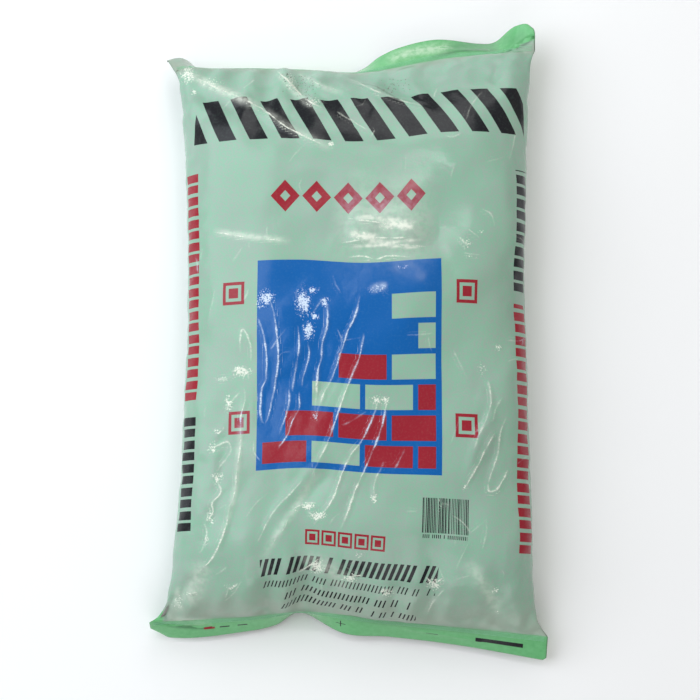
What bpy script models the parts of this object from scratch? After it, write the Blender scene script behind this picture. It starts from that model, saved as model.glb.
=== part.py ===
# Bag of dry concrete mix: a lay-flat plastic film tube, welded across both ends, and the mix inside it.
# Metres, +Z up. The bag lies on its back, its top end towards +Y, with the floor at Z = 0.

import math

import bmesh
import bpy
import numpy as np
from mathutils import Matrix, Vector

# The film
FILM = 0.0002  # thickness of one layer
TUBE_WIDTH = 0.400  # laid flat
SKIRT = 0.030  # film left beyond each weld, up to the cut edge
VENT_RADIUS = 0.001  # pinhole that lets air out of the bag while it is filled
VENT_FROM_WELD = 0.017
VENT_LENGTH = 0.0024  # of the pin that cuts it, through the film alone

# The mix
MIX_GAP = 0.0005  # clearance between the film and the mix
MIX_INSET = 0.004  # the mix stops this short of each weld

# The filled bag
TYPICAL_HALF_WIDTH = 0.1715
THICKNESS = 0.096  # at the typical half width
THICKNESS_PER_WIDTH = 1.2  # the tube's girth is fixed, so the bag is thinner where it is wider
WIDEST_HEIGHT = 0.038  # height above the floor of the bag's widest line
FLOOR_SQUASH = 0.012  # how far the round belly would sink in if it weren't flat there
END_RUN = 0.095  # length over which each end rises from its weld to the full thickness
END_POWER = 0.72  # under 1 rounds the end off more steeply at the weld
CORNER_POWER = 2.6  # how square the middle section is, where 2 is an ellipse

# Half width and centre line of the filled bag, by distance from the middle towards the top end
HALF_WIDTHS = [
    (-0.26, 0.181), (-0.20, 0.177), (-0.10, 0.1725), (0.045, 0.1685), (0.15, 0.1708), (0.26, 0.177),
]
CENTRE_LINE = [(-0.26, 0.002), (-0.20, 0.0045), (-0.10, 0.0075), (0.26, 0.0075)]

# Each end: which way it faces, the centre and half width of its weld, the length of its ears, over which the
# film spreads to its flat width, and curves across it from -1, at the left corner, to 1, at the right: the
# weld's distance from the middle, its height, and the skirt's slope below the level in degrees.
ENDS = {
    "bottom": {
        "facing": -1,
        "weld_centre": 0.000,
        "weld_half_width": 0.197,
        "ear_run": 0.020,
        "weld_reach": [(-1, 0.277), (-0.5, 0.2716), (-0.2, 0.267), (0.25, 0.276), (0.8, 0.287), (1, 0.291)],
        "weld_height": [(-1, 0.030), (-0.5, 0.034), (0.5, 0.034), (1, 0.030)],
        "skirt_slope": [
            (-1, 60), (-0.8, 53), (-0.55, 60), (-0.37, 68), (-0.25, 88), (-0.02, 52), (0.2, 57), (0.6, 52),
            (1, 36),
        ],
    },
    "top": {
        "facing": 1,
        "weld_centre": 0.002,
        "weld_half_width": 0.187,
        "ear_run": 0.008,
        "weld_reach": [
            (-1, 0.288), (-0.93, 0.291), (-0.8, 0.285), (-0.6, 0.281), (-0.3, 0.281), (0.05, 0.278),
            (0.5, 0.292), (1, 0.297),
        ],
        "weld_height": [(-1, 0.044), (-0.6, 0.036), (0.4, 0.036), (1, 0.046)],
        "skirt_slope": [
            (-1, 70), (-0.8, 92), (-0.1, 84), (0.05, 68), (0.14, 48), (0.25, 36), (0.45, 34), (0.7, 53),
            (0.8, 50), (0.9, 12), (1, -5),
        ],
    },
}

# The settled mix's lumps: waves of many headings added up
LUMP_SEED = 5
LUMP_WAVES = 36
LUMP_HEIGHT = 0.0016
LUMP_LENGTHS = (0.090, 0.170)  # the shortest and the longest wave
FLAT_NEAR_FLOOR = 0.010  # they fade out towards the floor, which presses the belly flat
EVEN_AT_SIDES = 0.050  # and towards the tube's folds, which are drawn straight

# The film's gathers at each weld: waves round the tube
GATHER_SEEDS = {"bottom": 6, "top": 7}
GATHER_COUNTS = range(14, 26)  # how many of each wave there are round the tube
GATHER_HEIGHT = 0.0016
GATHER_RISE = 0.008  # distance from the weld over which they rise
GATHER_REACH = 0.075

# Folds and swells of the front: height, half width, then the route by distance right of the middle and
# towards the top end
FOLDS = [
    (-0.0055, 0.008, [(-0.014, 0.275), (0.013, 0.268), (0.043, 0.254), (0.077, 0.233)]),
    (0.0024, 0.005, [(0.003, 0.266), (0.027, 0.251), (0.057, 0.236), (0.087, 0.227)]),
    (0.0026, 0.006, [(-0.167, 0.277), (-0.138, 0.258), (-0.105, 0.242), (-0.063, 0.210), (-0.019, 0.187)]),
    (-0.0016, 0.008, [(-0.160, 0.253), (-0.135, 0.240), (-0.108, 0.223)]),
    (0.0020, 0.022, [(-0.004, 0.105), (0.046, 0.101), (0.090, 0.104)]),
    (-0.0014, 0.012, [(-0.009, 0.084), (0.051, 0.086), (0.100, 0.086)]),
    (-0.0016, 0.009, [(-0.018, -0.128), (-0.040, -0.158), (-0.062, -0.176)]),
    (0.0016, 0.014, [(-0.131, -0.100), (-0.134, -0.149), (-0.144, -0.196)]),
    (-0.0022, 0.007, [(-0.145, -0.225), (-0.161, -0.245), (-0.175, -0.266)]),
    (-0.0040, 0.012, [(-0.046, -0.267), (-0.043, -0.247), (-0.035, -0.225)]),
    (0.0020, 0.014, [(-0.077, -0.266), (-0.084, -0.245), (-0.083, -0.224)]),
    (-0.0020, 0.010, [(0.071, -0.272), (0.060, -0.254), (0.054, -0.235)]),
    (0.0016, 0.016, [(0.119, -0.276), (0.110, -0.251), (0.106, -0.225)]),
]
FOLD_TAPER = 0.35  # share of a fold's length over which each of its ends dies away
FOLD_RISE = 0.006  # distance from the weld over which lumps and folds rise

# Fineness of the surfaces
ACROSS = 32  # faces across one side of the bag
ALONG = 40  # faces between the welds
CROWDING = 0.65  # of the rows towards the ends, where 0 spaces them evenly
SKIRT_ROWS = 3
SECTION_SAMPLES = 121  # for measuring the film's length round half a section
CORNER_INSET = 0.3  # of a face, by which the insides stop short of a weld's corners
SHARPEST_FOLD = 0.25  # sine of half the sharpest angle that the insides keep their depth in


def smooth(knots, at):
    """The value at one place of a smooth curve through the knots, level with the end knots beyond them."""
    last = len(knots) - 1
    if at <= knots[0][0]:
        return knots[0][1]
    if at >= knots[last][0]:
        return knots[last][1]
    k = max(i for i in range(last) if knots[i][0] <= at)

    def slope(i):
        before, after = knots[max(i - 1, 0)], knots[min(i + 1, last)]
        return (after[1] - before[1]) / (after[0] - before[0])

    (x0, y0), (x1, y1) = knots[k], knots[k + 1]
    step = x1 - x0
    t = (at - x0) / step
    return (
        y0 * (1 + 2 * t) * (1 - t) ** 2
        + slope(k) * step * t * (1 - t) ** 2
        + y1 * t * t * (3 - 2 * t)
        - slope(k + 1) * step * t * t * (1 - t)
    )


def weld_point(end, x, outwards=0.0):
    """The point on an end's weld at that X, or that far out along its skirt from there."""
    across = (x - end["weld_centre"]) / end["weld_half_width"]
    slope = math.radians(smooth(end["skirt_slope"], across))
    return Vector((
        x,
        end["facing"] * (smooth(end["weld_reach"], across) + outwards * math.cos(slope)),
        smooth(end["weld_height"], across) - outwards * math.sin(slope),
    ))


def signed_power(value, power):
    return math.copysign(abs(value) ** power, value)


def body_point(share, turn):
    """A point on the filled bag: share runs from the bottom weld to the top, turn goes round the section."""
    first, last = weld_point(ENDS["bottom"], 0).y, weld_point(ENDS["top"], 0).y
    near = ENDS["bottom"] if share < 0.5 else ENDS["top"]
    from_weld = (last - first) * min(share, 1 - share)
    filled = (1 - (1 - min(from_weld / END_RUN, 1)) ** 2) ** END_POWER

    along = first + (last - first) * share
    half_width = smooth(HALF_WIDTHS, along)
    centre = smooth(CENTRE_LINE, along)
    thickness = THICKNESS + THICKNESS_PER_WIDTH * (TYPICAL_HALF_WIDTH - half_width)
    ear = math.exp(-from_weld / near["ear_run"])
    half_width += (near["weld_half_width"] - half_width) * ear
    centre += (near["weld_centre"] - centre) * ear

    # The section is a flat line at the weld and a rounded box in the middle.
    power = 2 / (2 + (CORNER_POWER - 2) * filled)
    x = centre + half_width * signed_power(math.cos(turn), power)
    upwards = signed_power(math.sin(turn), power)
    below_weld, above_weld = weld_point(ENDS["bottom"], x), weld_point(ENDS["top"], x)
    y = below_weld.y + (above_weld.y - below_weld.y) * share
    weld_height = weld_point(near, x).z
    middle = weld_height + (WIDEST_HEIGHT - weld_height) * filled
    reach = thickness - WIDEST_HEIGHT if upwards > 0 else WIDEST_HEIGHT + FLOOR_SQUASH
    return Vector((x, y, max(middle + upwards * filled * reach, 0)))


def wave_set():
    """The lumps' waves: a heading with its wave number, and a phase."""
    random = np.random.default_rng(LUMP_SEED)
    waves = []
    for _ in range(LUMP_WAVES):
        heading = random.normal(size=3)
        number = math.tau / random.uniform(*LUMP_LENGTHS) / np.linalg.norm(heading)
        waves.append((Vector(heading * number), random.uniform(0, math.tau)))
    return waves


def gather_phases():
    return {
        name: np.random.default_rng(seed).uniform(0, math.tau, len(GATHER_COUNTS))
        for name, seed in GATHER_SEEDS.items()
    }


WAVES = wave_set()
PHASES = gather_phases()


def fold_field(at):
    """How far the front's folds lift the film at a place seen from above."""
    lifted = 0
    for height, half_width, route in FOLDS:
        stretches = [(Vector(a), Vector(b)) for a, b in zip(route, route[1:])]
        whole = sum((b - a).length for a, b in stretches)
        nearest, travelled, start = math.inf, 0, 0
        for a, b in stretches:
            run = b - a
            part = min(max((at.xy - a).dot(run) / run.length_squared, 0), 1)
            away = (at.xy - a - run * part).length
            if away < nearest:
                nearest, travelled = away, (start + run.length * part) / whole
            start += run.length
        fade = min(travelled, 1 - travelled, FOLD_TAPER) / FOLD_TAPER
        lifted += height * math.exp(-((nearest / half_width) ** 2)) * math.sin(fade * math.pi / 2)
    return lifted


def settle_move(share, turn, tube_place):
    """How far lumps, gathers and folds move the film there, straight out of it."""
    span = weld_point(ENDS["top"], 0).y - weld_point(ENDS["bottom"], 0).y
    from_weld = span * min(share, 1 - share)
    at = body_point(share, turn)
    waves = sum(math.cos(at.dot(heading) + phase) for heading, phase in WAVES)
    from_side = TUBE_WIDTH * min(tube_place % 1, 1 - tube_place % 1)
    moved = LUMP_HEIGHT * math.sqrt(2 / LUMP_WAVES) * waves * min(from_side / EVEN_AT_SIDES, 1)
    if math.sin(turn) > 0:
        moved += fold_field(at)
    around_tube = tube_place * math.pi
    phases = PHASES["bottom" if share < 0.5 else "top"]
    gathered = sum(math.cos(count * around_tube + phase) for count, phase in zip(GATHER_COUNTS, phases))
    gathered *= GATHER_HEIGHT * math.sqrt(2 / len(phases)) * (1 - math.exp(-from_weld / GATHER_RISE))
    moved += gathered * math.exp(-((from_weld / GATHER_REACH) ** 2))
    moved *= (1 - math.exp(-from_weld / FOLD_RISE)) * min(at.z / FLAT_NEAR_FLOOR, 1)

    share_step, turn_step = 0.0005, 0.01
    along = body_point(share + share_step, turn) - body_point(share - share_step, turn)
    around = body_point(share, turn + turn_step) - body_point(share, turn - turn_step)
    return along.cross(around).normalized() * moved


def section_turns(share):
    """Angles whose points lie evenly along the film round one section, from the right fold over the front."""
    turns = []
    for first, last in ((0, math.pi), (math.pi, math.tau)):
        fine = np.linspace(first, last, SECTION_SAMPLES)
        places = np.array([body_point(share, turn).xz for turn in fine])
        travelled = np.append(0, np.cumsum(np.linalg.norm(np.diff(places, axis=0), axis=1)))
        turns += np.interp(np.arange(ACROSS) / ACROSS * travelled[-1], travelled, fine).tolist()
    return turns


def body_ring(share):
    """The points round one section of the settled bag."""
    ring = []
    for step, turn in enumerate(section_turns(share)):
        tube_place = (1 - step / ACROSS) % 2  # 0 at the left fold, 1 at the right one
        point = body_point(share, turn) + settle_move(share, turn, tube_place)
        point.z = max(point.z, 0)
        ring.append(point)
    return ring


def along_shares():
    """Rows from weld to weld, closer together towards the ends."""
    shares = []
    for row in range(ALONG + 1):
        even = row / ALONG
        shares.append(even + CROWDING * ((1 - math.cos(math.pi * even)) / 2 - even))
    return shares


def weld_places():
    """Places across a weld, from -1 to 1, of points round a thin ring there."""
    return [abs(2 * step / ACROSS - 2) - 1 for step in range(2 * ACROSS)]


def join_rings(mesh, rings):
    """Joins rings by triangles, whose diagonals on the back mirror those on the front."""
    for row, (ring, following) in enumerate(zip(rings, rings[1:])):
        lower = row < len(rings) // 2
        for i in range(2 * ACROSS):
            a, b, c, d = following[i], following[(i + 1) % len(ring)], ring[(i + 1) % len(ring)], ring[i]
            back = i >= ACROSS
            right = min(i, 2 * ACROSS - 1 - i) < ACROSS // 2
            falling = (right == lower) != back
            for corners in ((a, b, d), (b, c, d)) if falling else ((a, b, c), (a, c, d)):
                mesh.faces.new(corners)


def inner_edge(end, next_ring, weld_inset):
    """The sharp end of a hollow, midway between front and back, short of the weld and of its corners."""
    line = []
    for i, place in enumerate(weld_places()[: ACROSS + 1]):
        weld = weld_point(end, end["weld_centre"] + end["weld_half_width"] * place)
        middle = (next_ring[i] + next_ring[-i]) / 2
        line.append(weld.lerp(middle, weld_inset / (middle - weld).length))
    points = []
    for i in range(ACROSS + 1):
        column = CORNER_INSET + i * (1 - 2 * CORNER_INSET / ACROSS)
        whole = min(int(column), ACROSS - 1)
        points.append(line[whole].lerp(line[whole + 1], column - whole))
    return points


def from_fold(ring, i):
    """Straight in from the tube's fold, further where its two sides meet at a sharper angle."""
    after = (ring[(i + 1) % len(ring)].co - ring[i].co).normalized()
    before = (ring[i - 1].co - ring[i].co).normalized()
    inwards = (after + before).normalized()
    return inwards / max(math.sin(inwards.angle(after)), SHARPEST_FOLD)


def pillow(depth, weld_inset):
    """A closed bag-shaped surface, that depth under the outer one, ending in sharp edges near the welds."""
    mesh = bmesh.new()
    body = [body_ring(share) for share in along_shares()[1:-1]]
    edges = [inner_edge(ENDS["bottom"], body[0], weld_inset), inner_edge(ENDS["top"], body[-1], weld_inset)]
    first, last = ([mesh.verts.new(point) for point in edge] for edge in edges)
    rings = [first + first[-2:0:-1]]
    rings += [[mesh.verts.new(point) for point in ring] for ring in body]
    rings.append(last + last[-2:0:-1])
    join_rings(mesh, rings)
    mesh.normal_update()
    moves = []
    for ring in rings[1:-1]:
        for i, vert in enumerate(ring):
            moves.append((vert, from_fold(ring, i) if i in (0, ACROSS) else -vert.normal))
    for vert, move in moves:
        vert.co += move * depth
    return mesh


def skirt_ring(mesh, end, outwards):
    """A thin ring of points round both layers of a skirt, that far out from the weld."""
    ring = []
    for step, place in enumerate(weld_places()):
        x = end["weld_centre"] + end["weld_half_width"] * place
        slope = math.radians(smooth(end["skirt_slope"], place))
        side = 0 if step in (0, ACROSS) else math.copysign(FILM, ACROSS - step)
        layer = Vector((0, end["facing"] * side * math.sin(slope), side * math.cos(slope)))
        ring.append(mesh.verts.new(weld_point(end, x, outwards) + layer))
    return ring


def outer_skin():
    """The outside of the film: the body, and beyond each weld a skirt of two layers lying together."""
    mesh = bmesh.new()
    steps = [SKIRT * row / SKIRT_ROWS for row in range(SKIRT_ROWS + 1)]
    rings = [skirt_ring(mesh, ENDS["bottom"], step) for step in reversed(steps)]
    for share in along_shares()[1:-1]:
        rings.append([mesh.verts.new(point) for point in body_ring(share)])
    rings += [skirt_ring(mesh, ENDS["top"], step) for step in steps]
    join_rings(mesh, rings)
    for ring, facing in ((rings[0], 1), (rings[-1], -1)):
        for i in range(ACROSS):
            corners = (ring[i], ring[i + 1], ring[-i - 1], ring[-i])
            mesh.faces.new(tuple(dict.fromkeys(corners))[::facing])
    return mesh


def add_object(name, mesh, material, shift):
    """Turns the mesh into a smooth-shaded object, moved so that the bag is centred on the origin."""
    bmesh.ops.translate(mesh, vec=shift, verts=mesh.verts)
    data = bpy.data.meshes.new(name)
    mesh.to_mesh(data)
    mesh.free()
    for polygon in data.polygons:
        polygon.use_smooth = True
    data.set_sharp_from_angle(angle=math.radians(40))
    obj = bpy.data.objects.new(name, data)
    if material:
        data.materials.append(material)
    bpy.context.scene.collection.objects.link(obj)
    return obj


def surface_material(name, colour, roughness, clear=0.0):
    material = bpy.data.materials.new(name)
    material.use_nodes = True
    shader = material.node_tree.nodes["Principled BSDF"]
    shader.inputs["Base Color"].default_value = (*colour, 1)
    shader.inputs["Roughness"].default_value = roughness
    shader.inputs["Metallic"].default_value = 0
    shader.inputs["Transmission Weight"].default_value = clear
    return material


def vent_cutter(shift):
    """A short pin through the middle of a face of the back film, near the top weld."""
    span = weld_point(ENDS["top"], 0).y - weld_point(ENDS["bottom"], 0).y
    shares = along_shares()
    row = max(i for i, share in enumerate(shares) if span * (1 - share) > VENT_FROM_WELD)
    column = ACROSS * 3 // 2
    corners = [point for share in shares[row : row + 2] for point in body_ring(share)[column : column + 2]]
    at = sum(corners, Vector()) / 4
    outwards = (corners[3] - corners[0]).cross(corners[2] - corners[1]).normalized()
    if outwards.z > 0:
        outwards.negate()
    mesh = bmesh.new()
    bmesh.ops.create_cone(
        mesh,
        cap_ends=True,
        segments=16,
        radius1=VENT_RADIUS,
        radius2=VENT_RADIUS,
        depth=VENT_LENGTH,
        matrix=Matrix.Translation(at) @ outwards.to_track_quat("Z", "Y").to_matrix().to_4x4(),
    )
    cutter = add_object("vent_cutter", mesh, None, shift)
    cutter.hide_render = True
    cutter.display_type = "WIRE"
    return cutter


def film_sack(shift, material):
    """The welded tube: its outer skin, the hollow inside it, and the vent that opens the hollow."""
    skin = outer_skin()
    hollow = pillow(depth=FILM, weld_inset=5 * FILM)
    bmesh.ops.reverse_faces(hollow, faces=hollow.faces)
    inner = bpy.data.meshes.new("hollow")
    hollow.to_mesh(inner)
    hollow.free()
    skin.from_mesh(inner)
    bpy.data.meshes.remove(inner)
    sack = add_object("film_sack", skin, material, shift)
    vent = sack.modifiers.new("vent", "BOOLEAN")
    vent.operation = "DIFFERENCE"
    vent.object = vent_cutter(shift)
    return sack


def concrete_mix(shift, material):
    """The mix, which fills the bag but not the tips of its ears."""
    body = pillow(depth=FILM + MIX_GAP, weld_inset=MIX_INSET)
    return add_object("concrete_mix", body, material, shift)


def centring_shift():
    """Puts the middle of the whole bag's footprint at the origin."""
    skin = outer_skin()
    xs = [vert.co.x for vert in skin.verts]
    ys = [vert.co.y for vert in skin.verts]
    skin.free()
    return Vector((-(min(xs) + max(xs)) / 2, -(min(ys) + max(ys)) / 2, 0))


def main():
    for obj in list(bpy.data.objects):
        bpy.data.objects.remove(obj)
    shift = centring_shift()
    film_sack(shift, surface_material("mint_polyethylene_film", (0.36, 0.57, 0.46), 0.32, 0.15))
    concrete_mix(shift, surface_material("dry_concrete_mix", (0.38, 0.37, 0.35), 0.95))


main()
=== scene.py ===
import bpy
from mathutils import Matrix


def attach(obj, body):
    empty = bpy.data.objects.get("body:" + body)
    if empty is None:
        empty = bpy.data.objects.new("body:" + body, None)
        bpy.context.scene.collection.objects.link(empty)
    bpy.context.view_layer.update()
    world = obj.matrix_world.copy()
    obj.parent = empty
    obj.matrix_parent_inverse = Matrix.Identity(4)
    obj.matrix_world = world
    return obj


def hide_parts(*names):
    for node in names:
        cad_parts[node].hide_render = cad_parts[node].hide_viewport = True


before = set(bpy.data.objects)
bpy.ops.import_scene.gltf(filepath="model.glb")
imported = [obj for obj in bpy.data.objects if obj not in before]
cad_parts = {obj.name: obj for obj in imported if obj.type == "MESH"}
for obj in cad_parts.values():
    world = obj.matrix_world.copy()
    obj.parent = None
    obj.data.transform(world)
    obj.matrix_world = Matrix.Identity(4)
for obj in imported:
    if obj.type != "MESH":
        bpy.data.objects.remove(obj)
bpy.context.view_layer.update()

# A 25 kg bag of dry concrete mix: a mint polyethylene tube, welded across both ends, lying on its back.
# Metres, +Z up, the bag's top end towards +Y.

import math

import bpy
import numpy as np
from mathutils import Matrix, Vector

# The camera stands over the bag, a little towards its bottom end
cameraSettings = {
    "elevation": 84.0,  # degrees above the floor
    "distance": 1.8,
    "target": (0.0015, -0.007, 0.04),  # before the bag is centred on its footprint
    "metresPerPixel": 0.001,  # of the photograph, at the target
    "pixels": 700,
    "sensorWidth": 36,
}

# The lay-flat tube before it was filled
film = {
    "width": 0.400,
    "skirt": 0.030,  # beyond each weld, to the cut edge
    "gauge": 0.0002,
    "layerGap": 0.00002,  # from the middle of a skirt to the inner face of each layer
    "leanReach": 0.03,  # how far in from each corner a skirt leans outwards
}

# The filled bag, as in the CAD part
bag = {
    "typicalHalfWidth": 0.1715,
    "thickness": 0.096,
    "thicknessPerWidth": 1.2,
    "widestHeight": 0.038,
    "floorSquash": 0.012,
    "endRun": 0.095,
    "endPower": 0.72,
    "cornerPower": 2.6,
    "halfWidths": [
        (-0.26, 0.181), (-0.20, 0.177), (-0.10, 0.1725), (0.045, 0.1685), (0.15, 0.1708), (0.26, 0.177),
    ],
    "centreLine": [(-0.26, 0.002), (-0.20, 0.0045), (-0.10, 0.0075), (0.26, 0.0075)],
    "towardsBottom": -0.0058,  # puts the origin under the middle of the footprint
}
bottomEnd = {
    "facing": -1,
    "weldCentre": 0.000,
    "weldHalfWidth": 0.197,
    "earRuns": (0.012, 0.012),  # how far from the weld the left and the right side flare out to it
    "fans": (0.0, 0.0),  # how far each corner of the skirt leans outwards
    "weldReach": [(-1, 0.277), (-0.5, 0.2716), (-0.2, 0.267), (0.25, 0.276), (0.8, 0.287), (1, 0.291)],
    "weldHeight": [(-1, 0.030), (-0.5, 0.034), (0.5, 0.034), (1, 0.030)],
    "skirtSlope": [
        (-1, 60), (-0.8, 53), (-0.55, 60), (-0.37, 68), (-0.25, 88), (-0.02, 52), (0.2, 57), (0.6, 52),
        (1, 36),
    ],
    # millimetres between the two cut edges
    "parting": [(-1, 0.4), (-0.6, 1.2), (-0.27, 0.3), (0.1, 1.8), (0.5, 0.6), (1, 0.5)],
    "curls": [0.014, 0.003],  # how far the left and the right corner have rolled under
    # folds pressed into the skirt: height and half width in millimetres, then x and the step beyond the weld
    # at each end
    "pleats": [(-1.3, 1.4, (-0.190, 0.004), (-0.134, 0.015)), (0.7, 3.0, (0.060, 0.012), (0.130, 0.018))],
}
topEnd = {
    "facing": 1,
    "weldCentre": 0.0065,
    "weldHalfWidth": 0.1825,
    "earRuns": (0.012, 0.008),
    "fans": (0.013, 0.0),
    "weldReach": [
        (-1, 0.276), (-0.93, 0.281), (-0.8, 0.281), (-0.6, 0.282), (-0.3, 0.281), (0.05, 0.278),
        (0.5, 0.292), (1, 0.297),
    ],
    "weldHeight": [(-1, 0.044), (-0.6, 0.036), (0.4, 0.036), (1, 0.046)],
    "skirtSlope": [
        (-1, 40), (-0.93, 60), (-0.86, 84), (-0.1, 84), (0.05, 68), (0.14, 48), (0.25, 36), (0.45, 34),
        (0.7, 53), (0.8, 50), (0.9, 12), (1, -5),
    ],
    "parting": [(-1, 0.3), (0.1, 0.4), (0.4, 1.6), (0.75, 0.5), (1, 0.3)],
    "curls": [0.009, 0.010],
    "pleats": [(-2.2, 1.7, (0.158, 0.001), (0.186, 0.015)), (0.9, 3.0, (0.060, 0.016), (0.140, 0.010))],
}

# How finely the film is divided: the printed front more than the back
grid = {"front": 240, "back": 60, "along": 268, "skirtRows": 18, "innerRows": 6}
# How many places are tried round a section and along the bag, to space the film's rows and columns evenly
samples = {"section": 481, "length": 2001}
mm = 0.001  # metres


# Values of a smooth curve through the knots
def curveThrough(knots, at):
    xs, ys = np.array(knots, float).T
    slopes = np.empty_like(ys)
    slopes[1:-1] = (ys[2:] - ys[:-2]) / (xs[2:] - xs[:-2])
    slopes[0] = (ys[1] - ys[0]) / (xs[1] - xs[0])
    slopes[-1] = (ys[-1] - ys[-2]) / (xs[-1] - xs[-2])
    at = np.clip(at, xs[0], xs[-1])
    k = np.clip(np.searchsorted(xs, at, side="right") - 1, 0, len(xs) - 2)
    step = xs[k + 1] - xs[k]
    t = (at - xs[k]) / step
    return (
        ys[k] * (1 + 2 * t) * (1 - t) ** 2
        + slopes[k] * step * t * (1 - t) ** 2
        + ys[k + 1] * t * t * (3 - 2 * t)
        - slopes[k + 1] * step * t * t * (1 - t)
    )


# A bell-shaped curve: 1 in the middle, and about a third of that one width away
def bell(away, width):
    return np.exp(-((away / width) ** 2))


# How far places lie across a weld, from -1 to 1, and how steeply the skirt falls away there
def acrossWeld(end, x):
    across = (x - end["weldCentre"]) / end["weldHalfWidth"]
    return across, np.radians(curveThrough(end["skirtSlope"], across))


def weldPoint(end, x, outwards=0.0):
    across, slope = acrossWeld(end, x)
    y = end["facing"] * (curveThrough(end["weldReach"], across) + outwards * np.cos(slope))
    z = curveThrough(end["weldHeight"], across) - outwards * np.sin(slope)
    return np.stack([x + 0 * y, y, z], -1)


def signedPower(value, power):
    return np.sign(value) * np.abs(value) ** power


# The filled bag's surface: share runs from the bottom weld to the top one, turn goes round the section
def filledSurface(share, turn):
    first, last = weldPoint(bottomEnd, np.array(0.0))[1], weldPoint(topEnd, np.array(0.0))[1]
    lower = share < 0.5
    fromWeld = (last - first) * np.minimum(share, 1 - share)
    filled = (1 - (1 - np.minimum(fromWeld / bag["endRun"], 1)) ** 2) ** bag["endPower"]
    along = first + (last - first) * share
    halfWidth = curveThrough(bag["halfWidths"], along)
    centre = curveThrough(bag["centreLine"], along)
    thickness = bag["thickness"] + bag["thicknessPerWidth"] * (bag["typicalHalfWidth"] - halfWidth)
    rightwards = 0.5 + 0.5 * np.cos(turn)
    runs = [end["earRuns"][0] + np.diff(end["earRuns"]) * rightwards for end in (bottomEnd, topEnd)]
    ear = np.exp(-fromWeld / np.where(lower, *runs))
    earWidth = np.where(lower, bottomEnd["weldHalfWidth"], topEnd["weldHalfWidth"])
    earCentre = np.where(lower, bottomEnd["weldCentre"], topEnd["weldCentre"])
    halfWidth = halfWidth + (earWidth - halfWidth) * ear
    centre = centre + (earCentre - centre) * ear
    power = 2 / (2 + (bag["cornerPower"] - 2) * filled)
    x = centre + halfWidth * signedPower(np.cos(turn), power)
    upwards = signedPower(np.sin(turn), power)
    low, high = weldPoint(bottomEnd, x), weldPoint(topEnd, x)
    y = low[..., 1] + (high[..., 1] - low[..., 1]) * share
    weldHeight = np.where(lower, low[..., 2], high[..., 2])
    middle = weldHeight + (bag["widestHeight"] - weldHeight) * filled
    reach = np.where(upwards > 0, thickness - bag["widestHeight"], bag["widestHeight"] + bag["floorSquash"])
    return np.stack([x, y, np.maximum(middle + upwards * filled * reach, 0)], -1)


# Distance travelled along each row of points
def lengthAlong(points):
    steps = np.linalg.norm(np.diff(points, axis=-2), axis=-1)
    start = np.zeros(steps.shape[:-1] + (1,))
    return np.concatenate([start, np.cumsum(steps, -1)], -1)


# Rows of points round part of the section, spaced evenly along the film
def evenSection(shares, fromTurn, toTurn, count):
    turns = np.linspace(fromTurn, toTurn, samples["section"])
    dense = filledSurface(shares[:, None], turns[None, :])
    travelled = lengthAlong(dense[..., [0, 2]])
    rows = []
    for share, distance in zip(shares, travelled):
        even = np.interp(np.linspace(0, distance[-1], count + 1), distance, turns)
        rows.append(filledSurface(np.full(count + 1, share), even))
    return np.array(rows)


# Where the grid's rows cross the bag, spaced evenly along the film up the middle of the front
def filmRows():
    shares = np.linspace(0, 1, samples["length"])
    distance = lengthAlong(filledSurface(shares, np.full_like(shares, math.pi / 2)))
    return np.interp(np.linspace(0, distance[-1], grid["along"] + 1), distance, shares), distance[-1]


# Rings of points from weld to weld, each from the left fold over the front to the right fold and back
def bagRings():
    shares, weldToWeld = filmRows()
    front = evenSection(shares, math.pi, 0, grid["front"])
    back = evenSection(shares, 2 * math.pi, math.pi, grid["back"])
    return np.concatenate([front[:, :-1], back[:, :-1]], 1), weldToWeld


# How far each column of a ring lies round the tube from its left fold
def columnPlaces(frontCount, backCount):
    front = np.arange(frontCount) / frontCount
    back = 1 + np.arange(backCount) / backCount
    return film["width"] * np.concatenate([front, back])


# The part of each ring over the front, both folds included
def frontOf(rings):
    return rings[:, : grid["front"] + 1]


# How far each ring lies along the film, and from the nearer weld
def alongFilm(rings, weldToWeld):
    along = np.linspace(0, weldToWeld, len(rings))[:, None]
    return along, np.minimum(along, weldToWeld - along)


def surfaceNormals(rings):
    around = np.roll(rings, -1, 1) - np.roll(rings, 1, 1)
    normals = np.cross(around, np.gradient(rings, axis=0))
    return normals / np.maximum(np.linalg.norm(normals, axis=-1, keepdims=True), 1e-12)


def ringFaces(rowCount, columnCount):
    rows, columns = np.meshgrid(np.arange(rowCount - 1), np.arange(columnCount), indexing="ij")
    following = (columns + 1) % columnCount
    corners = [rows * columnCount + columns, rows * columnCount + following]
    corners += [corner + columnCount for corner in (corners[1], corners[0])]
    return np.stack(corners, -1).reshape(-1, 4)


def meshObject(name, points, faces, edges=()):
    mesh = bpy.data.meshes.new(name)
    mesh.from_pydata(np.asarray(points).reshape(-1, 3).tolist(), list(edges), [list(face) for face in faces])
    obj = bpy.data.objects.new(name, mesh)
    bpy.context.scene.collection.objects.link(obj)
    return obj


# How far points lie from the middle of an oval patch, squared, where its rim is 1
def fromPatch(shown, x, y, halfWidth, halfHeight):
    return ((shown[..., 0] - x) / halfWidth) ** 2 + ((shown[..., 1] - y) / halfHeight) ** 2


# The strongest of a field and of some oval patches at each point
def strongestPatch(field, shown, patches):
    for *oval, strength in patches:
        field = np.maximum(field, strength * np.exp(-fromPatch(shown, *oval)))
    return field


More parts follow.
